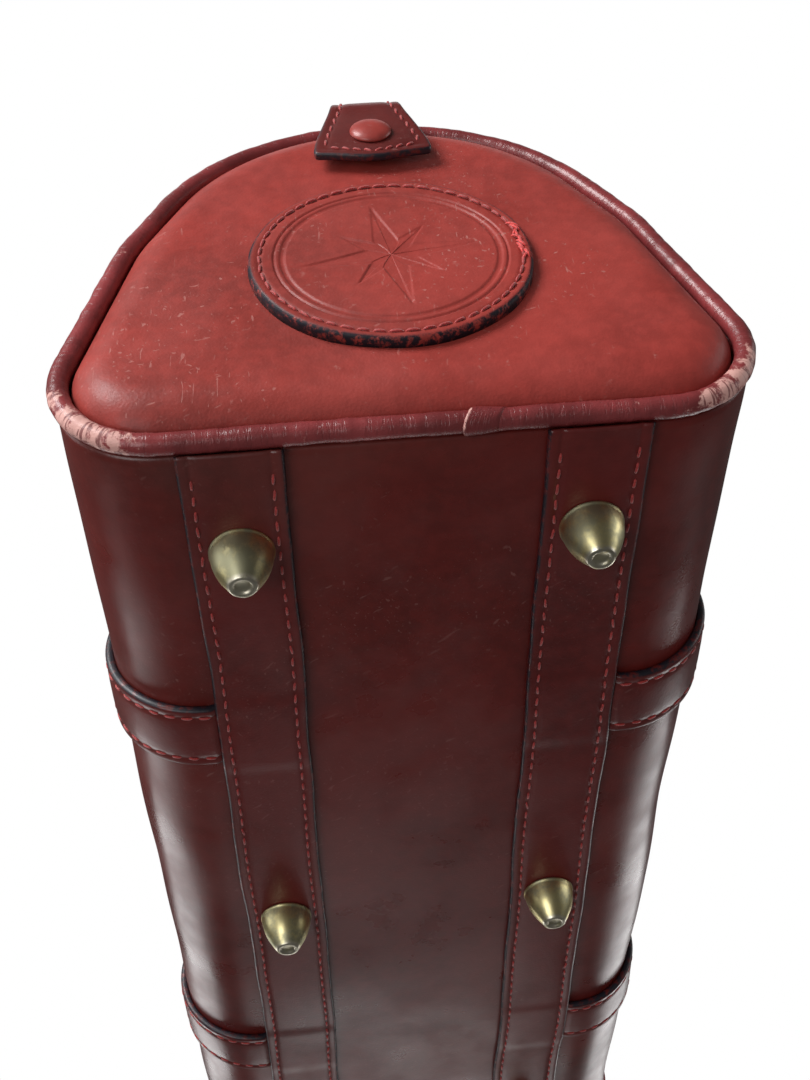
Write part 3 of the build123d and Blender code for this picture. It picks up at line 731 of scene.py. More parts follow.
def brass_material():
    """Antique brass: tarnished in the shade, rubbed bright in spots and where it touches down."""
    name = "antique brass"
    if name in bpy.data.materials:
        return bpy.data.materials[name]
    material, shader, surface, spot = new_material(name)
    tint = colours()
    cloud = shader.ramp(shader.noise(spot, 120.0, 5.0, 0.65), 0.38, 0.62)
    colour_now = shader.mix(cloud, tuple(tint.tarnish), tuple(tint.brass))
    height_here = shader.add("ShaderNodeSeparateXYZ", {0: spot}).outputs["Z"]
    tip = shader.ramp(height_here, 0.0003, 0.0014, 1.0, 0.0)
    ragged = shader.ramp(shader.noise(spot, 420.0, 4.0, 0.7), 0.28, 0.5)
    tip = shader.math("MULTIPLY", tip, ragged)
    colour_now = shader.mix(tip, colour_now, tuple(tint.bright))
    brushed = shader.noise(shader.stretch(spot, (500.0, 500.0, 3200.0)), 1.0, 3.0)
    rough = shader.ramp(cloud, 0.0, 1.0, 0.50, 0.36)
    rough = shader.math("SUBTRACT", rough, shader.math("MULTIPLY", tip, 0.08))
    pits = shader.noise(spot, 900.0, 4.0, 0.7)
    height = shader.math("ADD", shader.math("MULTIPLY", brushed, 0.4), pits)
    finish_surface(shader, surface, Base_Color=colour_now, Roughness=rough, Metallic=1.0,
                   Normal=shader.bump(height, 0.22, 0.00012))
    return material


def cloth_material(name, tone, threads=1700.0, sheen=0.2):
    """Woven cloth: two crossing sets of threads, as colour and height."""
    if name in bpy.data.materials:
        return bpy.data.materials[name]
    material, shader, surface, spot = new_material(name)
    tone = tuple(tone)
    unwrapped = shader.add("ShaderNodeUVMap", uv_map="Skin").outputs["UV"]
    parts = shader.add("ShaderNodeSeparateXYZ", {0: unwrapped})
    rows = []
    for axis in ("X", "Y"):
        line = shader.math("MULTIPLY", parts.outputs[axis], threads * math.pi)
        rows.append(shader.math("ABSOLUTE", shader.math("SINE", line)))
    diagonal = shader.math("ADD", parts.outputs["X"], parts.outputs["Y"])
    twill = shader.math("ABSOLUTE", shader.math("SINE", shader.math("MULTIPLY", diagonal,
                                                                    threads * 1.1)))
    weave = shader.math("MULTIPLY", shader.math("ADD", rows[0], rows[1]), 0.5)
    weave = shader.math("ADD", shader.math("MULTIPLY", weave, 0.5),
                        shader.math("MULTIPLY", twill, 0.5))
    mottle = shader.ramp(shader.noise(spot, 28.0, 4.0), 0.3, 0.7)
    colour_now = shader.mix(weave, shade(tone, 0.6), shade(tone, 1.2))
    colour_now = shader.mix(shader.math("MULTIPLY", mottle, 0.3), colour_now, shade(tone, 0.7))
    finish_surface(shader, surface, Base_Color=colour_now, Roughness=0.85,
                   Normal=shader.bump(weave, 0.4, 0.0002), Sheen_Weight=sheen)
    return material


def plain_material(name, dark, light, scale=90.0, roughness=0.8, metallic=0.0, bump=0.3):
    """Hidden stuffing, boards and screws: clouded colour over a rough bump."""
    if name in bpy.data.materials:
        return bpy.data.materials[name]
    material, shader, surface, spot = new_material(name)
    cloud = shader.noise(spot, scale, 4.0, 0.65)
    colour_now = shader.mix(shader.ramp(cloud, 0.3, 0.7), dark, light)
    finish_surface(shader, surface, Base_Color=colour_now, Roughness=roughness,
                   Metallic=metallic, Normal=shader.bump(cloud, bump, 0.0006))
    return material


def body_leather():
    """Dark leather of the base and flanks: the shaded copy of the leather's colour, painted shade
    where little light falls.
    """
    return leather_material("body leather", colours().body, gloss=0.31, scuffs=0.35, haze=0.14,
                            bump=0.14)


def lit_end_leather():
    """Lighter leather of the crowned ends and their badges: the lit copy of the same leather's
    colour, painted light where the key light falls.
    """
    return leather_material("end leather", colours().ends, gloss=0.44, scuffs=1.0, haze=0.05,
                            painted=True, mirror=0.27, bump=0.34)


def trim_leather():
    """Strips, straps, tabs and handle ends."""
    return leather_material("trim leather", colours().trim, gloss=0.34, scuffs=0.35, haze=0.12,
                            painted=True)


def roll_leather():
    """Rolled leather of the handles."""
    return leather_material("handle leather", colours().trim, gloss=0.30, scuffs=0.4, haze=0.10,
                            painted=True)


def seam_thread():
    """Thread of all the seams."""
    return thread_material("seam thread", colours().thread)


# Body panels

def panel_piece(name, s_from, s_to, node):
    """Sheet of body leather from s_from to s_to, from end to end of the bag."""
    z = sizes()
    x = np.linspace(-panel_end, panel_end, 241)
    s = np.linspace(s_from, s_to, 90)
    along, across = np.meshgrid(x, s, indexing="ij")
    inset = np.minimum(panel_end - np.abs(along), np.minimum(across - s_from, s_to - across))
    piece = slab_piece(name, place, along, across, inset, -z.leather, z.leather, body_leather(),
                       "bag", edge_round=0.5 * MM)
    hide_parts(node)


class BodyPanels(bpy.types.Operator):
    """Base, front and back panels of slightly slumped leather"""
    bl_idname = "travel_bag.body_panels"
    bl_label = "Body panels"

    def execute(self, context):
        seam = strip_y
        top = s_at_top(mouth_y + 0.4 * MM)
        panel_piece("base_leather", -seam, seam, "base_panel")
        panel_piece("front_leather", -top, -seam - 0.1 * MM, "front_panel")
        panel_piece("back_leather", seam + 0.1 * MM, top, "back_panel")
        return {"FINISHED"}


# Ends

def end_rings(offsets, places, count=288):
    """Rings of an end panel: the cross-section moved in by each offset, at each place along X.

    Up to end_limit they are parallel to the outline. Further in they shrink towards the centre,
    in proportion to what is left of the way to end_pole.
    """
    half = half_round()
    s = np.linspace(-half, half, count, endpoint=False)
    centre = np.array([0.0, base_z + 0.065])
    rings = []
    for offset, x in zip(offsets, places):
        y, z, _, _ = around(s, -min(offset, end_limit))
        share = 1 - max(offset - end_limit, 0.0) / (end_pole - end_limit)
        y = centre[0] + (y - centre[0]) * share
        z = centre[1] + (z - centre[1]) * share
        rings.append(np.stack([np.full_like(y, x), y, z], axis=-1))
    return np.array(rings)


def swelling(y, z):
    """Uneven swell of the foam under an end panel, from -1 to 1."""
    return 0.6 * ripple(y, z, 0.060, 11) + 0.4 * ripple(y, z, 0.024, 12)


def end_height(inset):
    """How far an end panel's face stands out at an inset from its outline.

    A quarter ellipse over the shoulder's width, and a slight dome from there to the middle.
    """
    z = sizes()
    wall = end_face - panel_end - z.pad_crown
    t = np.clip(inset / z.shoulder, 0, 1)
    edge = np.sqrt(1 - (1 - t) ** 2)
    dome = soften((inset - z.shoulder) / 0.045)
    return panel_end + wall * edge + z.pad_crown * dome


def end_panel_piece(name, side, node):
    """Crowned end panel: face, turned-in edge and inner side as one closed skin."""
    z = sizes()
    rim = 4.2 * MM
    steps = z.shoulder * (1 - np.cos(np.linspace(0, math.pi / 2, 15)))
    inner_steps = np.linspace(z.shoulder, end_last - rim, 24)[1:]
    inset = np.concatenate([steps, inner_steps])
    face = end_height(inset)
    offsets = np.concatenate([[end_last], [rim + z.leather] * 2, [rim, rim], rim + inset])
    places = np.concatenate([[end_face - z.leather - z.pad_crown],
                             [end_face - z.leather - 6 * MM, seam_x],
                             [seam_x, panel_end - 4 * MM], face])
    rings = end_rings(offsets, places)
    grade = np.concatenate([np.zeros(5), soften(inset / z.shoulder)])
    rings[:, :, 0] += grade[:, None] * 0.35 * MM * swelling(rings[:, :, 1], rings[:, :, 2])
    worn = np.zeros(rings.shape[:2])
    rings[:, :, 0] = np.minimum(rings[:, :, 0], end_face + 0.05 * MM)
    rings[:, :, 0] *= side
    uv = rings[:, :, 1:]
    piece = rings_piece(name, rings, lit_end_leather(), "bag", uv=uv, paint=worn)
    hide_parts(node)


class EndPanels(bpy.types.Operator):
    """Crowned, foam-filled end panels"""
    bl_idname = "travel_bag.end_panels"
    bl_label = "End panels"

    def execute(self, context):
        end_panel_piece("end_leather_right", 1, "end_panel_right")
        end_panel_piece("end_leather_left", -1, "end_panel_left")
        return {"FINISHED"}


# Pipings

def corner_wear(s):
    """How rubbed the piping is at s: most at the bottom corners, a little on the top round."""
    run = np.abs(s)
    corner = sizes().corner_half + 0.020
    low = np.exp(-((run - corner) / 0.021) ** 2)
    shoulder = 0.42 * np.exp(-((run - 0.165) / 0.022) ** 2)
    base = 0.24 * np.exp(-((run - 0.030) / 0.016) ** 2)
    return low + shoulder + base


def piping_piece(name, side, node):
    """Piped edge: a ring of circles carried round the outline, slightly lumpy."""
    z = sizes()
    half = half_round()
    s = np.linspace(-half, half, 720, endpoint=False)
    turn = np.linspace(0, 2 * math.pi, 22, endpoint=False)
    lump = 1 + 0.035 * ripple(s, s * 0, 0.013, 21) + 0.02 * ripple(s, s * 0, 0.004, 22)
    wander = 0.18 * MM * ripple(s, s * 0, 0.050, 23)
    radius = z.piping_radius * lump * 0.985
    h = -z.piping_sunk + wander[:, None] + radius[:, None] * np.cos(turn)[None]
    y, up, _, _ = around(np.broadcast_to(s[:, None], h.shape), h)
    x = piping_x + radius[:, None] * np.sin(turn)[None]
    rings = np.stack([side * x, y, up], axis=-1)
    uv = np.stack(np.broadcast_arrays(s[:, None], turn[None] * z.piping_radius), axis=-1)
    facing = 0.62 + 0.38 * np.cos(turn - 0.8)[None]
    worn = corner_wear(s)[:, None] * facing
    piece = rings_piece(name, rings, piping_material(), "bag", loop=True,
                        uv=uv, paint=worn)
    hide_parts(node)


def splice_piece(name, side, node):
    """Lapped end of the piping's wrap: a short sleeve, stepped at one end, thin at the other."""
    z = sizes()
    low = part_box(node)[0]
    y = np.array([0.0, 0.0, 0.12, 0.5, 1.0, 2.0, 3.2, 4.6, 6.0, 7.4, 8.6, 9.0]) * MM + low.y
    over = np.array([-0.8, 0.05, 0.45, 0.6, 0.62, 0.55, 0.5, 0.4, 0.28, 0.15, 0.02, -0.8]) * MM
    turn = np.linspace(0, 2 * math.pi, 28, endpoint=False)
    radius = (z.piping_radius + over)[:, None] * np.ones_like(turn)[None]
    slant = 1.6 * MM * np.sin(turn)[None]
    centre_z = base_z + z.piping_sunk
    rings = np.stack([side * (piping_x + radius * np.cos(turn)[None]),
                      y[:, None] + slant, centre_z + radius * np.sin(turn)[None]], axis=-1)
    uv = np.stack(np.broadcast_arrays(y[:, None], turn[None] * z.piping_radius), axis=-1)
    worn = np.broadcast_to(np.exp(-((y - y[2]) / (0.9 * MM)) ** 2)[:, None] * 0.8, radius.shape)
    piece = rings_piece(name, rings, piping_material(), "bag", uv=uv, paint=worn)
    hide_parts(node)


class Pipings(bpy.types.Operator):
    """Piped edges of both ends, with the lap where each wrap is joined"""
    bl_idname = "travel_bag.pipings"
    bl_label = "Pipings"

    def execute(self, context):
        for name, side in (("right", 1), ("left", -1)):
            piping_piece(f"piped_edge_{name}", side, f"piping_{name}")
            splice_piece(f"piping_lap_{name}", side, f"piping_splice_{name}")
        return {"FINISHED"}


# Badges

def star_depth(radius, turn):
    """Depth from 0 to 1 of a pressed eight-pointed compass star inside two rings.

    Each point is a narrow kite: its half width falls in proportion from the hub to the tip, and
    one side of each kite is pressed deeper than the other.
    """
    depth = np.zeros(np.broadcast(radius, turn).shape)
    for count, start, tip, wide in ((4, 0.0, 25.0 * MM, 4.6 * MM),
                                    (4, math.pi / 4, 16.5 * MM, 3.8 * MM)):
        step = 2 * math.pi / count
        local = (turn - start + step / 2) % step - step / 2
        along = radius * np.cos(local)
        aside = radius * np.sin(local)
        half = wide * np.clip(1 - along / tip, 0, 1) * np.clip(along / (5.5 * MM), 0, 1)
        inside = soften((half - np.abs(aside)) / (0.45 * MM) + 0.5)
        side = np.where(aside > 0, 1.0, 0.55)
        depth = np.maximum(depth, inside * side)
    for ring, width in ((29.2 * MM, 0.75 * MM), (31.4 * MM, 0.35 * MM)):
        depth = np.maximum(depth, np.exp(-((radius - ring) / width) ** 4))
    return depth


def badge_piece(name, side, node):
    """Round badge with painted edge, stitch groove and pressed compass star."""
    low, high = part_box("end_patch_right")
    wide = (high.y - low.y) / 2
    thick = high.x - low.x
    centre_y = (low.y + high.y) / 2
    centre_z = (low.z + high.z) / 2
    turn = np.linspace(0, 2 * math.pi, 384, endpoint=False)
    inset = np.concatenate([[0.0, 0.1, 0.3, 0.6, 0.9, 1.3, 1.8], np.arange(2.2, 11.0, 0.25),
                            np.arange(11.0, 37.9, 0.45)]) * MM
    radius = (wide - inset)[:, None] * np.ones_like(turn)[None]
    uneven = 0.18 * MM * np.sin(3 * turn + 0.7) + 0.12 * MM * np.sin(7 * turn)
    radius = radius + uneven[None] * np.clip(radius / wide, 0, 1) ** 6 - 0.3 * MM
    edge = 1.3 * MM
    rise = np.sqrt(1 - (1 - np.clip(inset / edge, 0, 1)) ** 2)[:, None]
    groove = np.exp(-((inset - 3.0 * MM) / (0.7 * MM)) ** 2)[:, None]
    face = low.x + thick - edge + edge * rise - 0.35 * MM * groove
    face = face - 0.42 * MM * star_depth(radius, turn[None] + 0.14)
    face = face - 0.25 * MM + 0.2 * MM * ripple(radius * np.cos(turn), radius * np.sin(turn),
                                               0.05, 31)
    y = centre_y + radius * np.sin(turn)[None]
    up = centre_z + radius * np.cos(turn)[None]
    front = np.stack([face, y, up], axis=-1)
    back = front[:1].copy()
    back[:, :, 0] = low.x - 0.9 * MM
    hub = back.copy()
    hub[:, :, 1] = centre_y + (hub[:, :, 1] - centre_y) * 0.3
    hub[:, :, 2] = centre_z + (hub[:, :, 2] - centre_z) * 0.3
    rings = np.concatenate([hub, back, front])
    paint = np.concatenate([[1.0, 1.0], 1 - soften((inset - 0.5 * MM) / edge_paint_fades)])
    paint = np.broadcast_to(paint[:, None], rings.shape[:2])
    uv = rings[:, :, 1:]
    if side < 0:
        rings = rings * np.array([-1.0, 1.0, 1.0])
    piece = rings_piece(name, rings, lit_end_leather(), "bag", uv=uv, paint=paint)
    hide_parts(node)


def badge_stitches(name, side):
    """Ring of stitches round a badge, and on the right one a cluster of mending stitches."""
    low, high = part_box("end_patch_right")
    wide = (high.y - low.y) / 2 - 3.2 * MM
    centre = (low + high) / 2
    count = int(2 * math.pi * wide / (sizes().stitch_pitch * 0.80))
    turn = np.linspace(0, 2 * math.pi, count, endpoint=False)
    face = high.x - 0.15 * MM
    points = np.stack([np.full(count, face), centre.y + wide * np.sin(turn),
                       centre.z + wide * np.cos(turn)], axis=-1)
    run = np.stack([np.zeros(count), np.cos(turn), -np.sin(turn)], axis=-1)
    out = np.broadcast_to(np.array([1.0, 0.0, 0.0]), points.shape)
    flip = np.array([side, 1.0, 1.0])
    stitches(name, points * flip, run, out * flip, seam_thread(), "bag", seed=41)
    if side > 0:
        rng = np.random.default_rng(5)
        spread = np.linspace(1.28, 1.72, 11)
        reach = wide + rng.uniform(-0.5, 0.9, 11) * MM
        points = np.stack([np.full(11, face + 0.3 * MM), centre.y + reach * np.sin(spread),
                           centre.z + reach * np.cos(spread)], axis=-1)
        lean = spread + rng.normal(0, 0.5, 11)
        run = np.stack([np.zeros(11), np.cos(lean), -np.sin(lean)], axis=-1)
        out = np.broadcast_to(np.array([1.0, 0.0, 0.0]), points.shape)
        stitches("mending_stitches", points, run, out,
                 thread_material("mending thread", colours().mending), "bag",
                 length_along=4.2 * MM, seed=42)


class Badges(bpy.types.Operator):
    """Round badges sewn on the ends, with a pressed compass star"""
    bl_idname = "travel_bag.badges"
    bl_label = "Badges"

    def execute(self, context):
        for name, side in (("right", 1), ("left", -1)):
            badge_piece(f"badge_{name}", side, f"end_patch_{name}")
            badge_stitches(f"badge_stitches_{name}", side)
        return {"FINISHED"}


# Base strips and cross straps

def strip_lift(x):
    """How far a base strip rises where a cross strap passes under it."""
    z = sizes()
    away = np.abs(np.abs(x) - strap_x) - z.strap_width / 2
    return 0.3 * MM * soften(-away / (6 * MM) + 1)


def strip_middle(x, side):
    """Slightly wavering middle line of a base strip, as s."""
    return side * strip_y + 0.45 * MM * ripple(x, x * 0, 0.090, 50 + side)


def strip_spot(side):
    """Placing function of a base strip."""
    def spot(x, across, h):
        return place(x, strip_middle(x, side) + across, h + strip_lift(x))
    return spot


def seam_points(spot, along, across, h, thread, name, body="bag", seed=1):
    """Row of stitches at given places on a piece, pointing along it."""
    near = spot(along + 0.5 * MM, across, h)
    here = spot(along, across, h)
    raised = spot(along, across, h + 1 * MM)
    stitches(name, here, near - here, raised - here, thread, body, seed=seed)


def base_strip_piece(name, side, node):
    """Strip over a base seam, with rounded painted edges, and its two rows of stitches."""
    z = sizes()
    x = np.linspace(-panel_end - 1.3 * MM, panel_end + 1.3 * MM, 300)
    b = edge_steps(z.strip_width)
    along, across = np.meshgrid(x, b, indexing="ij")
    narrow = 1 + 0.016 * ripple(along, np.sign(across) * 0.2, 0.035, 53)
    inset = z.strip_width / 2 - np.abs(across)
    spot = strip_spot(side)
    piece = slab_piece(name, lambda u, v, h: spot(u, v * narrow, h), along, across, inset,
                       0.0, z.strip_thick, trim_leather(), "bag",
                       groove=stitch_groove, edge_round=trim_round, swell=0.25 * MM)
    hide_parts(node)
    for edge in (-1, 1):
        places = np.arange(-panel_end + 5 * MM, panel_end - 4 * MM, z.stitch_pitch)
        line = np.full_like(places, edge * (z.strip_width / 2 - z.stitch_inset))
        row = "outer" if edge == side else "inner"
        seam_points(spot, places, line, z.strip_thick - 0.12 * MM, seam_thread(),
                    f"{name}_{row}_stitches", seed=54 + edge)


class BaseStrips(bpy.types.Operator):
    """Two stitched strips along the base seams"""
    bl_idname = "travel_bag.base_strips"
    bl_label = "Base strips"

    def execute(self, context):
        base_strip_piece("seam_strip_back", 1, "base_strip_back")
        base_strip_piece("seam_strip_front", -1, "base_strip_front")
        return {"FINISHED"}


def strap_piece(name, end, side, node):
    """Cross strap from under a base strip, round the corner and up the flank."""
    z = sizes()
    start = strip_y + z.strip_width / 2 - 6 * MM
    stop = s_at_height(strap_high - base_z)
    run = np.linspace(start, stop, 110)
    b = edge_steps(z.strap_width)
    along, across = np.meshgrid(run, b, indexing="ij")
    inset = z.strap_width / 2 - np.abs(across)

    def spot(u, v, h):
        sunk = -1.5 * MM * soften((start + 7.5 * MM - u) / (3 * MM))
        bow = 0.5 * MM * ripple(u, u * 0, 0.06, 60 + end + 3 * side)
        return place(end * strap_x + v + bow, side * u, h + sunk)

    piece = slab_piece(name, spot, along, across, inset, 0.05 * MM, z.strap_thick, trim_leather(),
                       "bag", groove=stitch_groove, edge_round=trim_round,
                       swell=0.2 * MM)
    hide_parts(node)
    for edge in (-1, 1):
        places = np.arange(start + 9 * MM, stop - 3 * MM, z.stitch_pitch * 0.92)
        line = np.full_like(places, edge * (z.strap_width / 2 - z.stitch_inset))
        seam_points(spot, places, line, z.strap_thick - 0.08 * MM, seam_thread(),
                    f"{name}_stitches_{'right' if edge > 0 else 'left'}",
                    seed=61 + edge)


class CrossStraps(bpy.types.Operator):
    """Four stitched straps that wrap the bottom corners"""
    bl_idname = "travel_bag.cross_straps"
    bl_label = "Cross straps"

    def execute(self, context):
        for end_name, end in (("right", 1), ("left", -1)):
            for side_name, side in (("back", 1), ("front", -1)):
                strap_piece(f"cross_strap_{end_name}_{side_name}", end, side,
                            f"strap_{end_name}_{side_name}")
        return {"FINISHED"}


# Metal fittings

def lathe(profile, centre, axis, count=56):
    """Rings of a turned shape: (radius, distance) pairs about an axis from a centre."""
    axis = np.asarray(axis, dtype=float)
    axis = axis / np.linalg.norm(axis)
    aside = np.cross(axis, [0.0, 1.0, 0.0] if abs(axis[1]) < 0.9 else [1.0, 0.0, 0.0])
    aside = aside / np.linalg.norm(aside)
    third = np.cross(axis, aside)
    turn = np.linspace(0, 2 * math.pi, count, endpoint=False)
    radius, distance = np.asarray(profile, dtype=float).T
    circle = aside[None] * np.cos(turn)[:, None] + third[None] * np.sin(turn)[:, None]
    return (np.asarray(centre)[None, None] + axis[None, None] * distance[:, None, None]
            + circle[None] * radius[:, None, None])


def dome_profile(radius, high, rim=0.25 * MM, count=12):
    """Dome on a thin rim: a quarter ellipse from the rim to the middle."""
    t = np.linspace(0, math.pi / 2, count)[:-1]
    arc = [(radius * math.cos(a), rim + (high - rim) * math.sin(a)) for a in t]
    return [(radius * 0.3, 0.0), (radius * 0.9, 0.0)] + arc + [(radius * 0.04, high)]


def foot_profile(high):
    """Cone with bowed sides, a rolled foot rim, a rounded tip ring and a dimple."""
    t = np.linspace(0, 1, 16)
    side = [(3.75 + (8.35 - 3.75) * a + 0.95 * math.sin(math.pi * a), 0.35 + 11.6 * a)
            for a in t]
    tip = [(0.3, 0.75), (1.6, 0.72), (2.05, 0.5), (2.3, 0.16), (2.7, 0.0), (3.3, 0.02),
           (3.62, 0.15)]
    rim = [(8.55, 12.15), (8.55, 12.6), (8.2, 12.95), (3.0, 12.95)]
    return [(r * MM, min(d * MM, high)) for r, d in tip + side + rim]


class Feet(bpy.types.Operator):
    """Six conical feet in antique brass"""
    bl_idname = "travel_bag.feet"
    bl_label = "Feet"

    def execute(self, context):
        low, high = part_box("base_feet")
        half = (high.y - low.y) / 2 - strip_y
        reach = high.x - half
        number = 0
        for y in (-strip_y, strip_y):
            for x in (-reach, 0.0, reach):
                number += 1
                rings = lathe(foot_profile(high.z), (x, y, 0.0), (0, 0, 1))
                piece = rings_piece(f"foot_{number}", rings, brass_material(), "bag")
                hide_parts("base_feet")
        return {"FINISHED"}


# Handles

def handle_line(side):
    """Middle line of a handle from one anchor's foot to the other's, with its outward normals.

    It climbs the flank, leaves it at the neck, and follows an arch of two straight legs, two
    quarter turns and a straight grip in the handle's leaning plane.
    """
    z = sizes()
    swing = joint("handle_back_swing" if side > 0 else "handle_front_swing")
    neck_y, neck_z = abs(swing["pos_m"][1]), swing["pos_m"][2]
    anchor_low, anchor_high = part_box("handle_anchors_back")
    low_s = s_at_height(anchor_low.z + 1 * MM - base_z)
    high_s = s_at_height(anchor_high.z - base_z)
    s = np.linspace(low_s, high_s, 40)
    lie = z.strap_thick + 1.9 * MM
    flank_y, flank_z, out_y, out_z = around(s, lie)
    rise = np.linspace(2 * MM, z.handle_rise - z.handle_bend, 16)
    arc = np.linspace(0, math.pi / 2, 40)[1:]
    leg_in = np.concatenate([np.zeros(16), z.handle_bend * (1 - np.cos(arc))])
    leg_up = np.concatenate([rise, rise[-1] + z.handle_bend * np.sin(arc)])
    x = strap_x - np.concatenate([np.zeros(40), leg_in])
    y = np.concatenate([flank_y, neck_y - leg_up * math.sin(handle_lean)])
    up = np.concatenate([flank_z, neck_z + leg_up * math.cos(handle_lean)])
    n_y = np.concatenate([out_y, np.full(len(leg_in), math.cos(handle_lean))])
    n_z = np.concatenate([out_z, np.full(len(leg_in), math.sin(handle_lean))])
    half = np.stack([x, side * y, up], axis=-1)
    normal = np.stack([np.zeros_like(x), side * n_y, n_z], axis=-1)
    mirror = np.array([-1.0, 1.0, 1.0])
    line = np.concatenate([half, (half * mirror)[::-1]])
    normal = np.concatenate([normal, normal[::-1]])
    run = np.concatenate([[0.0], np.cumsum(np.linalg.norm(np.diff(line, axis=0), axis=1))])
    steps = np.linspace(0, run[-1], 420)
    line = np.stack([np.interp(steps, run, line[:, i]) for i in range(3)], axis=-1)
    normal = np.stack([np.interp(steps, run, normal[:, i]) for i in range(3)], axis=-1)
    window = np.hanning(9) / np.hanning(9).sum()
    for i in range(3):
        padded = np.pad(line[:, i], 4, mode="reflect", reflect_type="odd")
        line[:, i] = np.convolve(padded, window, mode="valid")
    normal /= np.linalg.norm(normal, axis=1, keepdims=True)
    return steps, line, normal


def handle_frames(side):
    """Middle line, tangents, widths' direction and normals of a handle."""
    steps, line, normal = handle_line(side)
    tangent = np.gradient(line, axis=0)
    tangent /= np.linalg.norm(tangent, axis=1, keepdims=True)
    aside = np.cross(tangent, normal)
    aside /= np.linalg.norm(aside, axis=1, keepdims=True)
    return steps, line, tangent, aside, np.cross(aside, tangent)


def handle_section(steps):
    """Half width, half thickness and squareness along a handle.

    Flat tongues at both ends turn into a round roll over the 20 mm around each neck.
    """
    z = sizes()
    from_end = np.minimum(steps, steps[-1] - steps)
    anchor_low, anchor_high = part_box("handle_anchors_back")
    neck = (anchor_high.z - anchor_low.z) * 1.08
    round_part = soften((from_end - neck + 9 * MM) / (20 * MM))
    short = 1 - np.clip(from_end / (9 * MM), 0, 1)
    tongue = 14.6 * MM * np.sqrt(np.clip(1 - short ** 2, 0.02, 1))
    wide = tongue * (1 - round_part) + z.roll_radius * 0.985 * round_part
    thick = 1.75 * MM * (1 - round_part) + z.roll_radius * 0.985 * round_part
    square = 5.0 * (1 - round_part) + 2.0 * round_part
    return from_end, wide, thick, square, round_part


def handle_piece(name, side, label):
    """Rolled handle with flat sewn ends: a superellipse carried along the middle line."""
    steps, line, _, aside, normal = handle_frames(side)
    from_end, wide, thick, square, round_part = handle_section(steps)
    turn = np.linspace(0, 2 * math.pi, 40, endpoint=False)
    cos, sin = np.cos(turn)[None], np.sin(turn)[None]
    power = (2 / square)[:, None]
    seam = round_part[:, None] * 0.55 * MM * np.exp(-((turn - math.pi) / 0.20) ** 2)[None]
    wave = 1 + 0.018 * round_part[:, None] * ripple(steps[:, None], turn[None] * 0.004, 0.03, 71)
    a = (wide[:, None] * wave + seam) * np.sign(cos) * np.abs(cos) ** power
    b = thick[:, None] * wave * np.sign(sin) * np.abs(sin) ** power
    rings = (line[:, None] + aside[:, None] * a[:, :, None] + normal[:, None] * b[:, :, None])
    uv = np.stack(np.broadcast_arrays(steps[:, None], turn[None] * 0.006), axis=-1)
    flat = 1 - round_part[:, None]
    edge = soften((np.abs(cos) - 0.93) / 0.05) * flat
    tip = soften((1.4 * MM - from_end) / (0.8 * MM))[:, None]
    paint = np.clip(edge + tip, 0, 1)
    bend = neck_blend(side)
    piece = rings_piece(name, rings, roll_leather(), bend, uv=uv, paint=paint)
    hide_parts(f"handle_{label}", f"handle_anchors_{label}")
    handle_stitches(name, side, bend)


def neck_blend(side):
    """Bodies and bending stretch of a handle's neck."""
    label = "back" if side > 0 else "front"
    swing = joint(f"handle_{label}_swing")
    neck = Vector(swing["pos_m"])
    up = Vector((0.0, -side * math.sin(handle_lean), math.cos(handle_lean)))
    return "bag", f"carry_handle_{label}", tuple(neck - up * 5 * MM), tuple(neck + up * 7 * MM)


def handle_stitches(name, side, bend):
    """Stitches along the roll's inner seam and round the flat ends."""
    z = sizes()
    steps, line, tangent, aside, normal = handle_frames(side)
    _, wide, thick, _, round_part = handle_section(steps)
    roll_places = np.arange(steps[0], steps[-1], z.stitch_pitch * 0.9)
    keep = np.interp(roll_places, steps, round_part) > 0.97
    roll_places = roll_places[keep]

    def at(values, spots):
        return np.stack([np.interp(spots, steps, values[:, i]) for i in range(3)], axis=-1)

    inner = at(aside, roll_places)
    centre = at(line, roll_places)
    points = centre - inner * (z.roll_radius + 0.35 * MM)
    stitches(f"{name}_seam_stitches", points, at(tangent, roll_places), -inner, seam_thread(),
             bend, seed=73)
    flat_places = np.arange(5 * MM, 34 * MM, z.stitch_pitch * 0.8)
    both = np.concatenate([flat_places, steps[-1] - flat_places])
    rows = []
    for edge in (-1, 1):
        half = np.interp(both, steps, wide) - 2.9 * MM
        high = np.interp(both, steps, thick) - 0.05 * MM
        rows.append(at(line, both) + at(aside, both) * (edge * half)[:, None]
                    + at(normal, both) * high[:, None])
    points = np.concatenate(rows)
    run = np.concatenate([at(tangent, both)] * 2)
    out = np.concatenate([at(normal, both)] * 2)
    stitches(f"{name}_anchor_stitches", points, run, out, seam_thread(), "bag",
             length_along=3.4 * MM, seed=74)


def rivet_pieces(label, side):
    """Domed rivets through a handle's two flat ends."""
    box_low, box_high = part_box(f"handle_rivets_{label}")
    height = (box_low.z + box_high.z) / 2 - base_z
    s = s_at_height(height - 2.2 * MM)
    y, up, out_y, out_z = around(np.array([side * s]), 6.1 * MM)
    for end_name, end in (("right", 1), ("left", -1)):
        rings = lathe(dome_profile(4.2 * MM, 2.0 * MM), (end * strap_x, y[0], up[0]),
                      (0.0, out_y[0], out_z[0]), 40)
        piece = rings_piece(f"rivet_{end_name}_{label}", rings, brass_material(), "bag")
        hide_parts(f"handle_rivets_{label}")


class Handles(bpy.types.Operator):
    """Two rolled handles with flat sewn and riveted ends"""
    bl_idname = "travel_bag.handles"
    bl_label = "Handles"

    def execute(self, context):
        for label, side in (("front", -1), ("back", 1)):
            handle_piece(f"rolled_handle_{label}", side, label)
            rivet_pieces(label, side)
        return {"FINISHED"}


# Zip

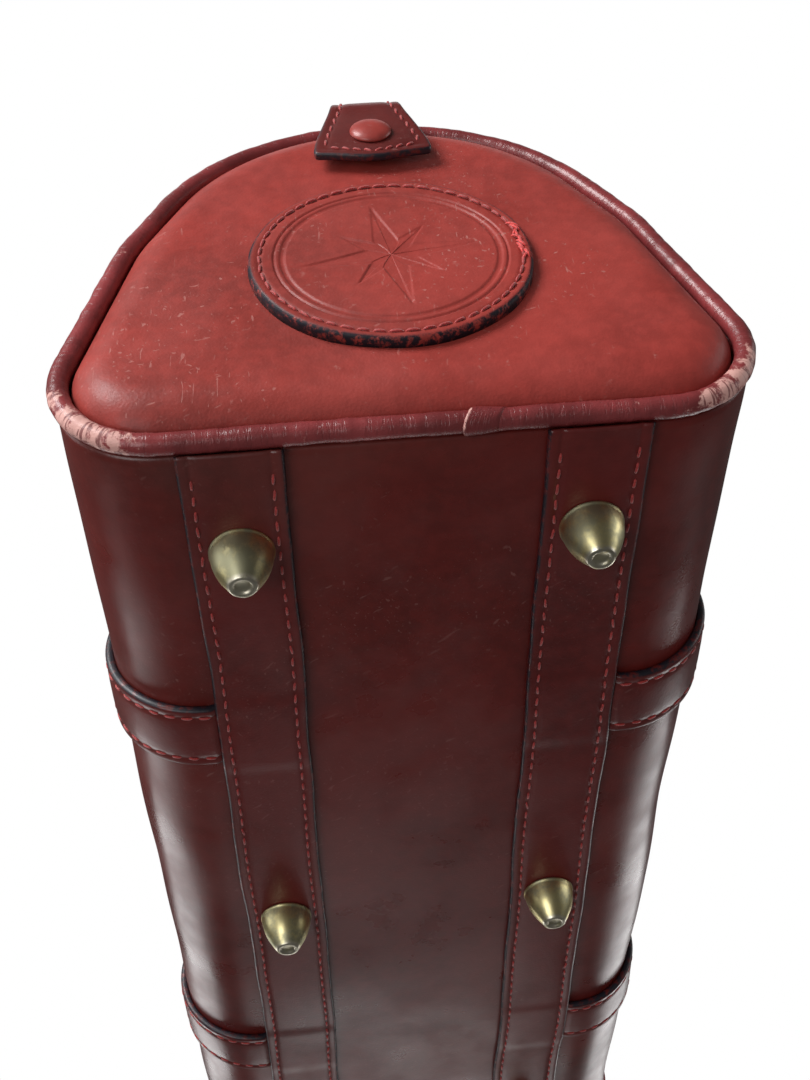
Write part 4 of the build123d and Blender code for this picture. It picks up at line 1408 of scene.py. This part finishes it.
def zip_blend(side, end):
    """Bodies and bending stretch at one end of the zip's mouth."""
    label = "back" if side > 0 else "front"
    top = base_z + sizes().top_height + sizes().top_radius
    start = (end * (mouth_end + 22 * MM), 0.0, top)
    stop = (end * (mouth_end - 48 * MM), 0.0, top)
    return "bag", f"facing_{label}", start, stop


def zip_names(side, end):
    """Label of one quarter of the zip."""
    return f"{'back' if side > 0 else 'front'}_{'right' if end > 0 else 'left'}"


def facing_piece(side, end):
    """Quarter of the leather beside the zip, with a stitched inner edge."""
    z = sizes()
    label = zip_names(side, end)
    outer = s_at_top(mouth_y)
    inner = s_at_top(facing_y)
    x = np.linspace(0.0, panel_end, 130)
    width = inner - outer
    b = edge_steps(width)
    along, across = np.meshgrid(x, b, indexing="ij")
    inset = width / 2 - np.abs(across)
    middle_s = (outer + inner) / 2

    def spot(u, v, h):
        edge = 0.3 * MM * ripple(u, u * 0, 0.05, 80 + side + 2 * end) * soften(v / width + 0.5)
        edge = edge * soften(u / (30 * MM))
        return place(end * u, side * (middle_s + v + edge), h)

    piece = slab_piece(f"zip_facing_{label}", spot, along, across, inset, -z.leather, z.leather,
                       body_leather(), zip_blend(side, end),
                       edge_round=trim_round)
    nodes = [f"zip_facing_{'back' if side > 0 else 'front'}",
             f"zip_end_facings_{'right' if end > 0 else 'left'}"]
    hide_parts(*nodes)
    places = np.arange(z.stitch_pitch / 2, panel_end - 3 * MM, z.stitch_pitch * 0.8)
    line = np.full_like(places, width / 2 - z.stitch_inset)
    seam_points(spot, places, line, -0.05 * MM, seam_thread(), f"zip_stitches_{label}",
                body=zip_blend(side, end), seed=81)


def tape_piece(side, end):
    """Quarter of the zip's woven tape."""
    label = zip_names(side, end)
    low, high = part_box("zip_tape_back")
    outer = s_at_top(high.y)
    inner = s_at_top(low.y - 0.8 * MM)
    x = np.linspace(0.0, seam_x, 90)
    b = np.linspace(outer, inner, 14)
    along, across = np.meshgrid(x, b, indexing="ij")
    inset = np.minimum(across - outer, inner - across)
    lie = -sizes().leather - 0.85 * MM
    piece = slab_piece(f"zip_tape_{label}", lambda u, v, h: place(end * u, side * v, h), along,
                       across, inset, lie, 0.7 * MM,
                       cloth_material("zip tape", colours().tape, 2600.0, 0.1),
                       zip_blend(side, end))
    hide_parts(f"zip_tape_{'back' if side > 0 else 'front'}",
                f"zip_end_rows_{'right' if end > 0 else 'left'}")


def teeth_piece(side, end):
    """Quarter of the zip's teeth: small heads that alternate with those of the other row."""
    z = sizes()
    label = zip_names(side, end)
    low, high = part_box("zip_teeth_back")
    shift = 0.25 if side > 0 else -0.25
    number = np.arange(0, int((seam_x - 4 * MM) / z.tooth_pitch))
    middle_x = (number + 0.5 + shift * end) * z.tooth_pitch
    reach = np.array([4.3, 4.2, 1.6, 0.7, -0.75, -0.85]) * MM
    half = np.array([0.3, 0.56, 0.56, 0.44, 0.56, 0.2]) * MM
    tall = np.array([0.5, 1.0, 1.05, 0.85, 1.05, 0.5]) * MM
    turn = np.linspace(0, 2 * math.pi, 6, endpoint=False) + math.pi / 6
    centre_z = (low.z + high.z) / 2
    tooth = np.stack([half[:, None] * np.cos(turn)[None] * 1.1,
                      np.broadcast_to(side * reach[:, None], (6, 6)),
                      centre_z + tall[:, None] * np.sin(turn)[None] * 1.1], axis=-1)
    teeth = tooth[None] + np.stack([end * middle_x, middle_x * 0, middle_x * 0], -1)[:, None, None]
    teeth[..., 2] += give(teeth[..., 0], np.full(teeth.shape[:3], side * half_round()))
    faces = np.array(quads(6, 6, closed=True))
    faces = (faces[None] + number[:, None, None] * 36).reshape(-1, 4).tolist()
    for shift_by, order in ((0, [5, 4, 3, 2, 1, 0]), (30, [0, 1, 2, 3, 4, 5])):
        faces += (number[:, None] * 36 + shift_by + np.array(order)[None]).tolist()
    piece = make_piece(f"zip_teeth_{label}", teeth, faces, brass_material(), zip_blend(side, end))
    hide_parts(f"zip_teeth_{'back' if side > 0 else 'front'}")


class Zip(bpy.types.Operator):
    """Zip facings, tapes and teeth"""
    bl_idname = "travel_bag.zip"
    bl_label = "Zip"

    def execute(self, context):
        for side in (-1, 1):
            for end in (-1, 1):
                facing_piece(side, end)
                tape_piece(side, end)
                teeth_piece(side, end)
        return {"FINISHED"}


def plate_rings(outline, levels):
    """Rings of a flat plate: its outline, drawn in by each level's inset, at each height."""
    centre = outline.mean(0)
    away = outline - centre
    size = np.linalg.norm(away, axis=1, keepdims=True)
    rings = []
    for inset, height in levels:
        flat = centre + away * np.clip(1 - inset / size, 0.02, 1)
        rings.append(np.column_stack([flat, np.full(len(flat), height)]))
    return np.array(rings)


def rounded_box_outline(half_x, half_y, power, count=48):
    """Superellipse outline about the origin."""
    turn = np.linspace(0, 2 * math.pi, count, endpoint=False)
    cos, sin = np.cos(turn), np.sin(turn)
    return np.stack([half_x * np.sign(cos) * np.abs(cos) ** (2 / power),
                     half_y * np.sign(sin) * np.abs(sin) ** (2 / power)], axis=-1)


def slider_piece():
    """Slider: a waisted plate with rounded edges, and the bridge that holds the puller."""
    low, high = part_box("slider")
    middle_x = (low.x + high.x) / 2
    plate_top = low.z + 1.5 * MM
    outline = rounded_box_outline((high.x - low.x) / 2, (high.y - low.y) / 2, 3.2, 64)
    outline[:, 1] *= 0.86 + 0.14 * (np.abs(outline[:, 0]) / outline[:, 0].max()) ** 1.5
    outline[:, 0] += middle_x
    levels = [(5 * MM, low.z), (0.35 * MM, low.z), (0.0, low.z + 0.35 * MM),
              (0.0, plate_top - 0.5 * MM), (0.15 * MM, plate_top - 0.2 * MM),
              (0.5 * MM, plate_top), (5 * MM, plate_top + 0.15 * MM)]
    plate = rings_piece("slider_plate", plate_rings(outline, levels), brass_material(),
                        "zip_slider")
    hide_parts("slider")
    t = np.linspace(0, math.pi, 22)
    path_x = middle_x - 5.1 * MM * np.cos(t)
    path_z = plate_top - 0.3 * MM + (high.z - plate_top - 0.2 * MM) * np.sin(t) ** 0.55
    tangent = np.stack([np.gradient(path_x), np.zeros_like(t), np.gradient(path_z)], axis=-1)
    tangent /= np.linalg.norm(tangent, axis=1, keepdims=True)
    aside = np.broadcast_to(np.array([0.0, 1.0, 0.0]), tangent.shape)
    out = np.cross(tangent, aside)
    turn = np.linspace(0, 2 * math.pi, 14, endpoint=False)
    path = np.stack([path_x, np.zeros_like(t), path_z], axis=-1)
    rings = (path[:, None] + aside[:, None] * (1.05 * MM * np.cos(turn))[None, :, None]
             + out[:, None] * (0.5 * MM * np.sin(turn))[None, :, None])
    bridge = rings_piece("slider_bridge", rings, brass_material(), "zip_slider")
    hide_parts("slider")


def puller_piece():
    """Puller: a tapered tag with a window for its pin, drawn as one bent ring of metal."""
    low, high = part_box("puller")
    swing = joint("puller_swing")["pos_m"]
    half_y = (high.y - low.y) / 2
    middle_z = (low.z + high.z) / 2
    turn = np.linspace(0, 2 * math.pi, 12, endpoint=False)
    t = np.linspace(0, 2 * math.pi, 80, endpoint=False)
    window_x = swing[0] - 4.0 * MM
    path = np.stack([window_x + 4.4 * MM * np.sign(np.cos(t)) * np.abs(np.cos(t)) ** 0.6,
                     (half_y - 0.85 * MM) * np.sign(np.sin(t)) * np.abs(np.sin(t)) ** 0.6,
                     np.full_like(t, middle_z)], axis=-1)
    tangent = np.roll(path, -1, axis=0) - np.roll(path, 1, axis=0)
    tangent /= np.linalg.norm(tangent, axis=1, keepdims=True)
    up = np.broadcast_to(np.array([0.0, 0.0, 1.0]), tangent.shape)
    aside = np.cross(tangent, up)
    radius = np.array([0.72, 0.68]) * MM
    rings = (path[:, None] + aside[:, None] * (radius[0] * np.cos(turn))[None, :, None]
             + up[:, None] * (radius[1] * np.sin(turn))[None, :, None])
    ring = rings_piece("puller_ring", rings, brass_material(), "zip_puller",
                       loop=True)
    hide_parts("puller")
    tag_from = low.x
    tag_to = window_x - 3.9 * MM
    outline = rounded_box_outline((tag_to - tag_from) / 2, half_y * 0.93, 4.0, 64)
    outline[:, 1] *= 1 - 0.16 * (outline[:, 0] / outline[:, 0].max() + 1) / 2
    outline[:, 0] += (tag_from + tag_to) / 2
    levels = [(3 * MM, low.z + 0.35 * MM), (0.9 * MM, low.z + 0.25 * MM), (0.3 * MM, low.z),
              (0.0, low.z + 0.35 * MM), (0.0, high.z - 0.35 * MM), (0.3 * MM, high.z),
              (0.9 * MM, high.z - 0.25 * MM), (3 * MM, high.z - 0.35 * MM)]
    tag = rings_piece("puller_tag", plate_rings(outline, levels), brass_material(), "zip_puller")
    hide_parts("puller")


class Slider(bpy.types.Operator):
    """Zip slider and puller"""
    bl_idname = "travel_bag.slider"
    bl_label = "Slider"

    def execute(self, context):
        slider_piece()
        puller_piece()
        return {"FINISHED"}


# Closing tabs

def tab_line():
    """Side view of a closing tab from its root to its tip: x and z of its middle layer.

    It lies on the zip's end, climbs over the piping, folds down in a quarter turn and hangs.
    """
    root_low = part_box("tab_root_right")[0]
    tab_low, tab_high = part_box("tab_right")
    fold_x = joint("tab_right_lift")["pos_m"][0]
    top = tab_high.z - tab_thick / 2
    hang = tab_high.x - tab_thick / 2
    bend = hang - fold_x
    start_z = root_low.z + tab_thick / 2
    flat = np.linspace(root_low.x, fold_x - 10 * MM, 24)
    climb = np.linspace(fold_x - 10 * MM, fold_x, 16)[1:]
    arc = np.linspace(0, math.pi / 2, 22)[1:]
    fall = np.linspace(top - bend, tab_low.z, 36)[1:]
    x = np.concatenate([flat, climb, fold_x + bend * np.sin(arc), np.full(len(fall), hang)])
    z = np.concatenate([np.full(len(flat), start_z),
                        start_z + (top - start_z) * soften((climb - climb[0]) / (8 * MM)),
                        top - bend * (1 - np.cos(arc)), fall])
    run = np.concatenate([[0.0], np.cumsum(np.hypot(np.diff(x), np.diff(z)))])
    return run, x, z


def tab_piece(name, side, label):
    """Closing tab: narrow over the fold, flared to a blunt point, with painted edges."""
    z = sizes()
    run, line_x, line_z = tab_line()
    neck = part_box("tab_root_right")[1].y
    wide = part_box("tab_right")[1].y
    point = 4.0 * MM
    reach = run[-1] - point
    t = np.concatenate([[0, 0.001, 0.003, 0.006], np.linspace(0.012, 0.985, 120),
                        [0.989, 0.993, 0.9965, 0.999, 1.0]])
    b = edge_steps(2.0 * MM * 10) / (10.0 * MM)
    share, across = np.meshgrid(t, b, indexing="ij")
    blunt = 1 - np.sqrt(np.abs(across) ** 2 + 0.01)
    far = reach + point * np.clip(blunt, 0, 1)
    along = share * far

    def half_width(u):
        return neck + (wide - neck) * soften((u - tab_flares_from) / (reach - tab_flares_from))

    half = half_width(along)
    corner = np.sqrt(np.clip(1 - (1 - np.clip((far - along) / (2 * MM), 0, 1)) ** 2, 0, 1))
    half = half - 1.2 * MM * (1 - corner)
    inset = np.minimum(half * (1 - np.abs(across)), np.minimum(along, far - along))

    def spot(u, v, h):
        x = np.interp(u, run, line_x)
        up = np.interp(u, run, line_z)
        slope_x = np.interp(u, run, np.gradient(line_x, run))
        slope_z = np.interp(u, run, np.gradient(line_z, run))
        size = np.hypot(slope_x, slope_z)
        curl = 0.5 * MM * (v / wide) ** 2 * soften((u - 56 * MM) / (10 * MM))
        lift = h - curl
        return np.stack([side * (x - slope_z / size * lift), v, up + slope_x / size * lift],
                        axis=-1)

    bend = joint(f"tab_{label}_lift")["pos_m"]
    start = (bend[0] - side * 3 * MM, 0.0, bend[2])
    stop = (bend[0] + side * 9 * MM, 0.0, bend[2] - 11 * MM)
    bodies = ("bag", f"closing_tab_{label}", start, stop)
    piece = slab_piece(name, spot, along, across * half, inset, -tab_thick / 2, tab_thick,
                       trim_leather(), bodies, groove=stitch_groove,
                       edge_round=trim_round, swell=0.15 * MM)
    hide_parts(f"tab_{label}", f"tab_root_{label}")
    rows = []
    places = np.arange(5 * MM, reach - 4 * MM, z.stitch_pitch * 0.8)
    for edge in (-1, 1):
        rows.append((places, edge * (half_width(places) - z.stitch_inset)))
    tip = np.linspace(-0.78, 0.78, 8)
    rows.append((reach + point * (1 - np.abs(tip)) - z.stitch_inset,
                 tip * (wide - z.stitch_inset)))
    u = np.concatenate([row[0] for row in rows])
    v = np.concatenate([row[1] for row in rows])
    here = spot(u, v, tab_thick / 2 - 0.08 * MM)
    ahead = spot(u + 0.5 * MM, v, tab_thick / 2 - 0.08 * MM)
    aside = spot(u - 0.35 * MM * np.sign(v), v + 0.5 * MM, tab_thick / 2 - 0.08 * MM)
    run_dir = np.where((np.arange(len(u)) >= len(u) - 8)[:, None], aside - here, ahead - here)
    raised = spot(u, v, tab_thick / 2 + 1 * MM)
    stitches(f"{name}_stitches", here, run_dir, raised - here, seam_thread(), bodies,
             length_along=3.3 * MM, seed=91)


def snap_pieces(label, side):
    """Press stud: leather-coloured cap, socket ring and the stud on the end panel."""
    cap_low, cap_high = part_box(f"snap_cap_{label}")
    centre = (cap_low + cap_high) / 2
    tab_low, tab_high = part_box(f"tab_{label}")
    outer = side * max(abs(tab_low.x), abs(tab_high.x))
    radius = (cap_high.y - cap_low.y) / 2
    axis = (float(side), 0.0, 0.0)
    rings = lathe(dome_profile(radius, 2.9 * MM, 0.5 * MM),
                  (outer + side * 0.1 * MM, 0.0, centre.z), axis)
    # The cap takes the lit copy of the leather's colour: painted light, as on the ends.
    cap = rings_piece(f"stud_cap_{label}", rings,
                      leather_material("cap leather", colours().ends, gloss=0.3, scuffs=0.6,
                                       haze=0.05), f"closing_tab_{label}")
    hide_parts(f"snap_cap_{label}")
    low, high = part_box(f"snap_socket_{label}")
    inner = side * min(abs(low.x), abs(high.x))
    profile = [(3.4, 1.4), (3.4, 0.3), (3.7, 0.0), (4.6, 0.0), (5.3, 0.35), (5.45, 0.9),
               (5.45, 1.75), (3.0, 1.78)]
    rings = lathe([(r * MM, d * MM) for r, d in profile], (inner, 0.0, centre.z), axis, 40)
    socket = rings_piece(f"stud_socket_{label}", rings, brass_material(),
                         f"closing_tab_{label}")
    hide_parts(f"snap_socket_{label}")
    profile = [(1.0, -0.6), (4.7, -0.6), (4.7, 0.25), (4.4, 0.5), (2.3, 0.55), (1.6, 0.75),
               (1.55, 0.95), (2.05, 1.25), (2.0, 1.55), (1.2, 1.68)]
    rings = lathe([(r * MM, d * MM) for r, d in profile],
                  (side * (end_face + 0.1 * MM), 0.0, centre.z), axis, 36)
    stud = rings_piece(f"stud_post_{label}", rings, brass_material(), "bag")
    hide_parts(f"snap_stud_{label}")


class ClosingTabs(bpy.types.Operator):
    """Tabs that fold over the zip's ends, and their press studs"""
    bl_idname = "travel_bag.closing_tabs"
    bl_label = "Closing tabs"

    def execute(self, context):
        for label, side in (("right", 1), ("left", -1)):
            tab_piece(f"closing_tab_{label}_leather", side, label)
            snap_pieces(label, side)
        return {"FINISHED"}


# Inside

def lining_lie(s):
    """Height of the lining under the leather's face: close at the flanks, deep over the board."""
    run = np.abs(s)
    return -2.7 * MM - 6.6 * MM * (1 - soften((run - 0.062) / 0.020))


class Lining(bpy.types.Operator):
    """Cloth lining, open along the zip"""
    bl_idname = "travel_bag.lining"
    bl_label = "Lining"

    def execute(self, context):
        low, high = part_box("lining")
        edge = s_at_top(mouth_y + 1.0 * MM)
        cloth = cloth_material("lining cloth", colours().lining)
        x = np.linspace(low.x, high.x, 170)
        s = np.linspace(-edge, edge, 170)
        along, across = np.meshgrid(x, s, indexing="ij")
        inset = np.minimum(high.x - np.abs(along), edge - np.abs(across))
        fold = 0.9 * MM * (ripple(along, across, 0.045, 95) - 1.1)

        def spot(u, v, h):
            return place(u, v, h + lining_lie(v) + fold * soften(inset / (9 * MM)))

        piece = slab_piece("lining_cloth_body", spot, along, across, inset, -0.8 * MM, 0.8 * MM,
                           cloth, "bag")
        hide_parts("lining")
        return {"FINISHED"}


class HiddenFittings(bpy.types.Operator):
    """Materials of the boards, foam, cords, screws and washers inside"""
    bl_idname = "travel_bag.hidden_fittings"
    bl_label = "Hidden fittings"

    def execute(self, context):
        board = plain_material("fibre board", (0.10, 0.075, 0.05), (0.20, 0.15, 0.10), 60.0)
        foam = plain_material("foam", (0.52, 0.48, 0.36), (0.70, 0.66, 0.52), 700.0, 0.95)
        cord = plain_material("cotton cord", (0.42, 0.36, 0.26), (0.68, 0.60, 0.45), 900.0, 0.9)
        steel = plain_material("zinc plate", (0.42, 0.42, 0.43), (0.62, 0.62, 0.62), 200.0, 0.35,
                               1.0, 0.1)
        finishes = {"base_board": board, "end_board_left": board, "end_board_right": board,
                    "end_pad_left": foam, "end_pad_right": foam,
                    "piping_cord_left": cord, "piping_cord_right": cord,
                    "handle_core_front": cord, "handle_core_back": cord,
                    "foot_screws": steel, "foot_washers": steel}
        for node, material in finishes.items():
            materials = frame["nodes"][node].data.materials
            materials.clear()
            materials.append(material)
        return {"FINISHED"}


# Stage

def floor_material():
    """Pale matt floor that only a camera above it sees, so that it hides nothing from below."""
    material = bpy.data.materials.new("pale floor")
    material.use_nodes = True
    material.node_tree.nodes.clear()
    shader = Shader(material.node_tree)
    output = shader.add("ShaderNodeOutputMaterial")
    clear = shader.add("ShaderNodeBsdfTransparent")
    spot = shader.add("ShaderNodeTexCoord").outputs["Object"]
    stage = bpy.context.scene.bag_stage
    tone = tuple(stage.floor)
    colour_now = shader.mix(shader.noise(spot, 3.0, 2.0), shade(tone, 0.985), tone)
    matt = shader.add("ShaderNodeBsdfDiffuse", {"Color": colour_now})
    far = shader.add("ShaderNodeVectorMath", {0: spot}, operation="LENGTH").outputs["Value"]
    pale = shader.add("ShaderNodeEmission", {"Color": (*stage.backdrop, 1.0)})
    matt = shader.add("ShaderNodeMixShader", {0: shader.ramp(far, 0.35, 1.5), 1: matt.outputs[0],
                                              2: pale.outputs[0]})
    camera = shader.add("ShaderNodeLightPath").outputs["Is Camera Ray"]
    behind = shader.add("ShaderNodeNewGeometry").outputs["Backfacing"]
    seen = shader.math("MULTIPLY", camera, shader.math("SUBTRACT", 1.0, behind))
    mix = shader.add("ShaderNodeMixShader", {0: seen, 1: clear.outputs[0], 2: matt.outputs[0]})
    shader.tree.links.new(mix.outputs[0], output.inputs["Surface"])
    return material


def add_light(name, at, aim, power, size):
    """Large soft area light at a point, aimed at another."""
    data = bpy.data.lights.new(name, "AREA")
    data.shape = "DISK"
    data.size = size
    data.energy = power
    light = bpy.data.objects.new(name, data)
    bpy.context.collection.objects.link(light)
    light.location = at
    light.rotation_euler = (Vector(aim) - Vector(at)).to_track_quat("-Z", "Y").to_euler()


def add_world(stage):
    """White backdrop for the camera, and a weaker even light from all round."""
    world = bpy.data.worlds.new("studio")
    world.use_nodes = True
    world.node_tree.nodes.clear()
    shader = Shader(world.node_tree)
    warm_white = (1.0, 0.99, 0.97, 1.0)
    seen = shader.add("ShaderNodeBackground", {"Color": (*stage.backdrop, 1.0), "Strength": 1.0})
    room = shader.add("ShaderNodeBackground", {"Color": warm_white, "Strength": stage.room})
    gleam = shader.add("ShaderNodeBackground", {"Color": warm_white, "Strength": stage.gleam})
    ray = shader.add("ShaderNodeLightPath").outputs
    unseen = shader.add("ShaderNodeMixShader", {0: ray["Is Glossy Ray"], 1: room.outputs[0],
                                                2: gleam.outputs[0]})
    mix = shader.add("ShaderNodeMixShader", {0: ray["Is Camera Ray"], 1: unseen.outputs[0],
                                             2: seen.outputs[0]})
    output = shader.add("ShaderNodeOutputWorld")
    shader.tree.links.new(mix.outputs[0], output.inputs["Surface"])
    bpy.context.scene.world = world


def add_camera(stage):
    """Camera low beyond the right end, looking up along the base."""
    data = bpy.data.cameras.new("camera")
    data.lens = stage.lens
    data.sensor_width = 36.0
    data.clip_start = 0.01
    data.clip_end = 50.0
    camera = bpy.data.objects.new("camera", data)
    bpy.context.collection.objects.link(camera)
    forward = Vector((stage.view_x, stage.view_y, stage.view_z)).normalized()
    right = forward.cross(Vector((0.0, 0.0, 1.0))).normalized()
    right = Matrix.Rotation(stage.roll, 3, forward) @ right
    up = right.cross(forward)
    turn = Matrix((right, up, -forward)).transposed()
    camera.matrix_world = Matrix.Translation(
        (stage.camera_x, stage.camera_y, stage.camera_z)) @ turn.to_4x4()
    bpy.context.scene.camera = camera


class Stage(bpy.types.Operator):
    """Floor, backdrop, lights and camera"""
    bl_idname = "travel_bag.stage"
    bl_label = "Stage"

    def execute(self, context):
        stage = context.scene.bag_stage
        reach = 3.0
        floor_drop = -0.2 * MM
        corners = [(-reach, -reach), (reach, -reach), (reach, reach), (-reach, reach)]
        mesh = bpy.data.meshes.new("floor")
        mesh.from_pydata([(x, y, floor_drop) for x, y in corners], [], [(0, 1, 2, 3)])
        floor = bpy.data.objects.new("floor", mesh)
        context.collection.objects.link(floor)
        floor.data.materials.append(floor_material())
        middle_z = base_z + 0.07
        lights = (("key", (1.25, -0.95, 0.70), (0.15, 0.0, middle_z), stage.key, 0.8),
                  ("top", (-0.3, 0.1, 1.6), (0.0, 0.0, middle_z), stage.fill, 1.6),
                  ("front_side", (0.3, -1.4, 0.45), (0.0, 0.0, middle_z), stage.fill, 1.0),
                  ("back_side", (0.3, 1.4, 0.45), (0.0, 0.0, middle_z), stage.fill, 1.0),
                  ("low", (0.9, -0.7, -0.7), (0.1, 0.0, 0.0), stage.low, 0.8),
                  ("far_front", (-1.5, -0.95, 0.1), (0.0, 0.0, middle_z), stage.glow, 0.8),
                  ("far_back", (-1.5, 0.95, 0.1), (0.0, 0.0, middle_z), stage.glow, 0.8),
                  ("far_low", (-1.7, 0.0, -0.42), (0.0, 0.0, 0.0), stage.glow * 0.4, 0.7))
        for light in lights:
            add_light(*light)
        add_world(stage)
        add_camera(stage)
        context.scene.view_settings.view_transform = "Standard"
        return {"FINISHED"}


# Panel and registration

builders = (Stage, BodyPanels, EndPanels, Pipings, Badges, BaseStrips, CrossStraps, Feet,
            Handles, Zip, Slider, ClosingTabs, Lining, HiddenFittings)


class TravelBagPanel(bpy.types.Panel):
    """Lists the bag's pieces in the sidebar"""
    bl_idname = "VIEW3D_PT_travel_bag"
    bl_label = "Travel Bag"
    bl_space_type = "VIEW_3D"
    bl_region_type = "UI"
    bl_category = "Travel Bag"

    def draw(self, context):
        for builder in builders:
            self.layout.operator(builder.bl_idname)
        for group in (context.scene.bag_sizes, context.scene.bag_colours, context.scene.bag_stage):
            box = self.layout.box()
            for name in group.bl_rna.properties.keys():
                if name not in ("rna_type", "name"):
                    box.prop(group, name)


groups = {"bag_sizes": BagSizes, "bag_colours": BagColours, "bag_stage": StageSettings}


def register():
    """Registers the settings, the operators and the panel."""
    for kind in (*groups.values(), *builders, TravelBagPanel):
        bpy.utils.register_class(kind)
    for name, kind in groups.items():
        setattr(bpy.types.Scene, name, bpy.props.PointerProperty(type=kind))


def unregister():
    """Takes the settings, the operators and the panel out again."""
    for name in groups:
        delattr(bpy.types.Scene, name)
    for kind in reversed((*groups.values(), *builders, TravelBagPanel)):
        bpy.utils.unregister_class(kind)


def main():
    """Builds every piece in order."""
    register()
    for builder in builders:
        group, name = builder.bl_idname.split(".")
        getattr(getattr(bpy.ops, group), name)()


if __name__ == "__main__":
    main()
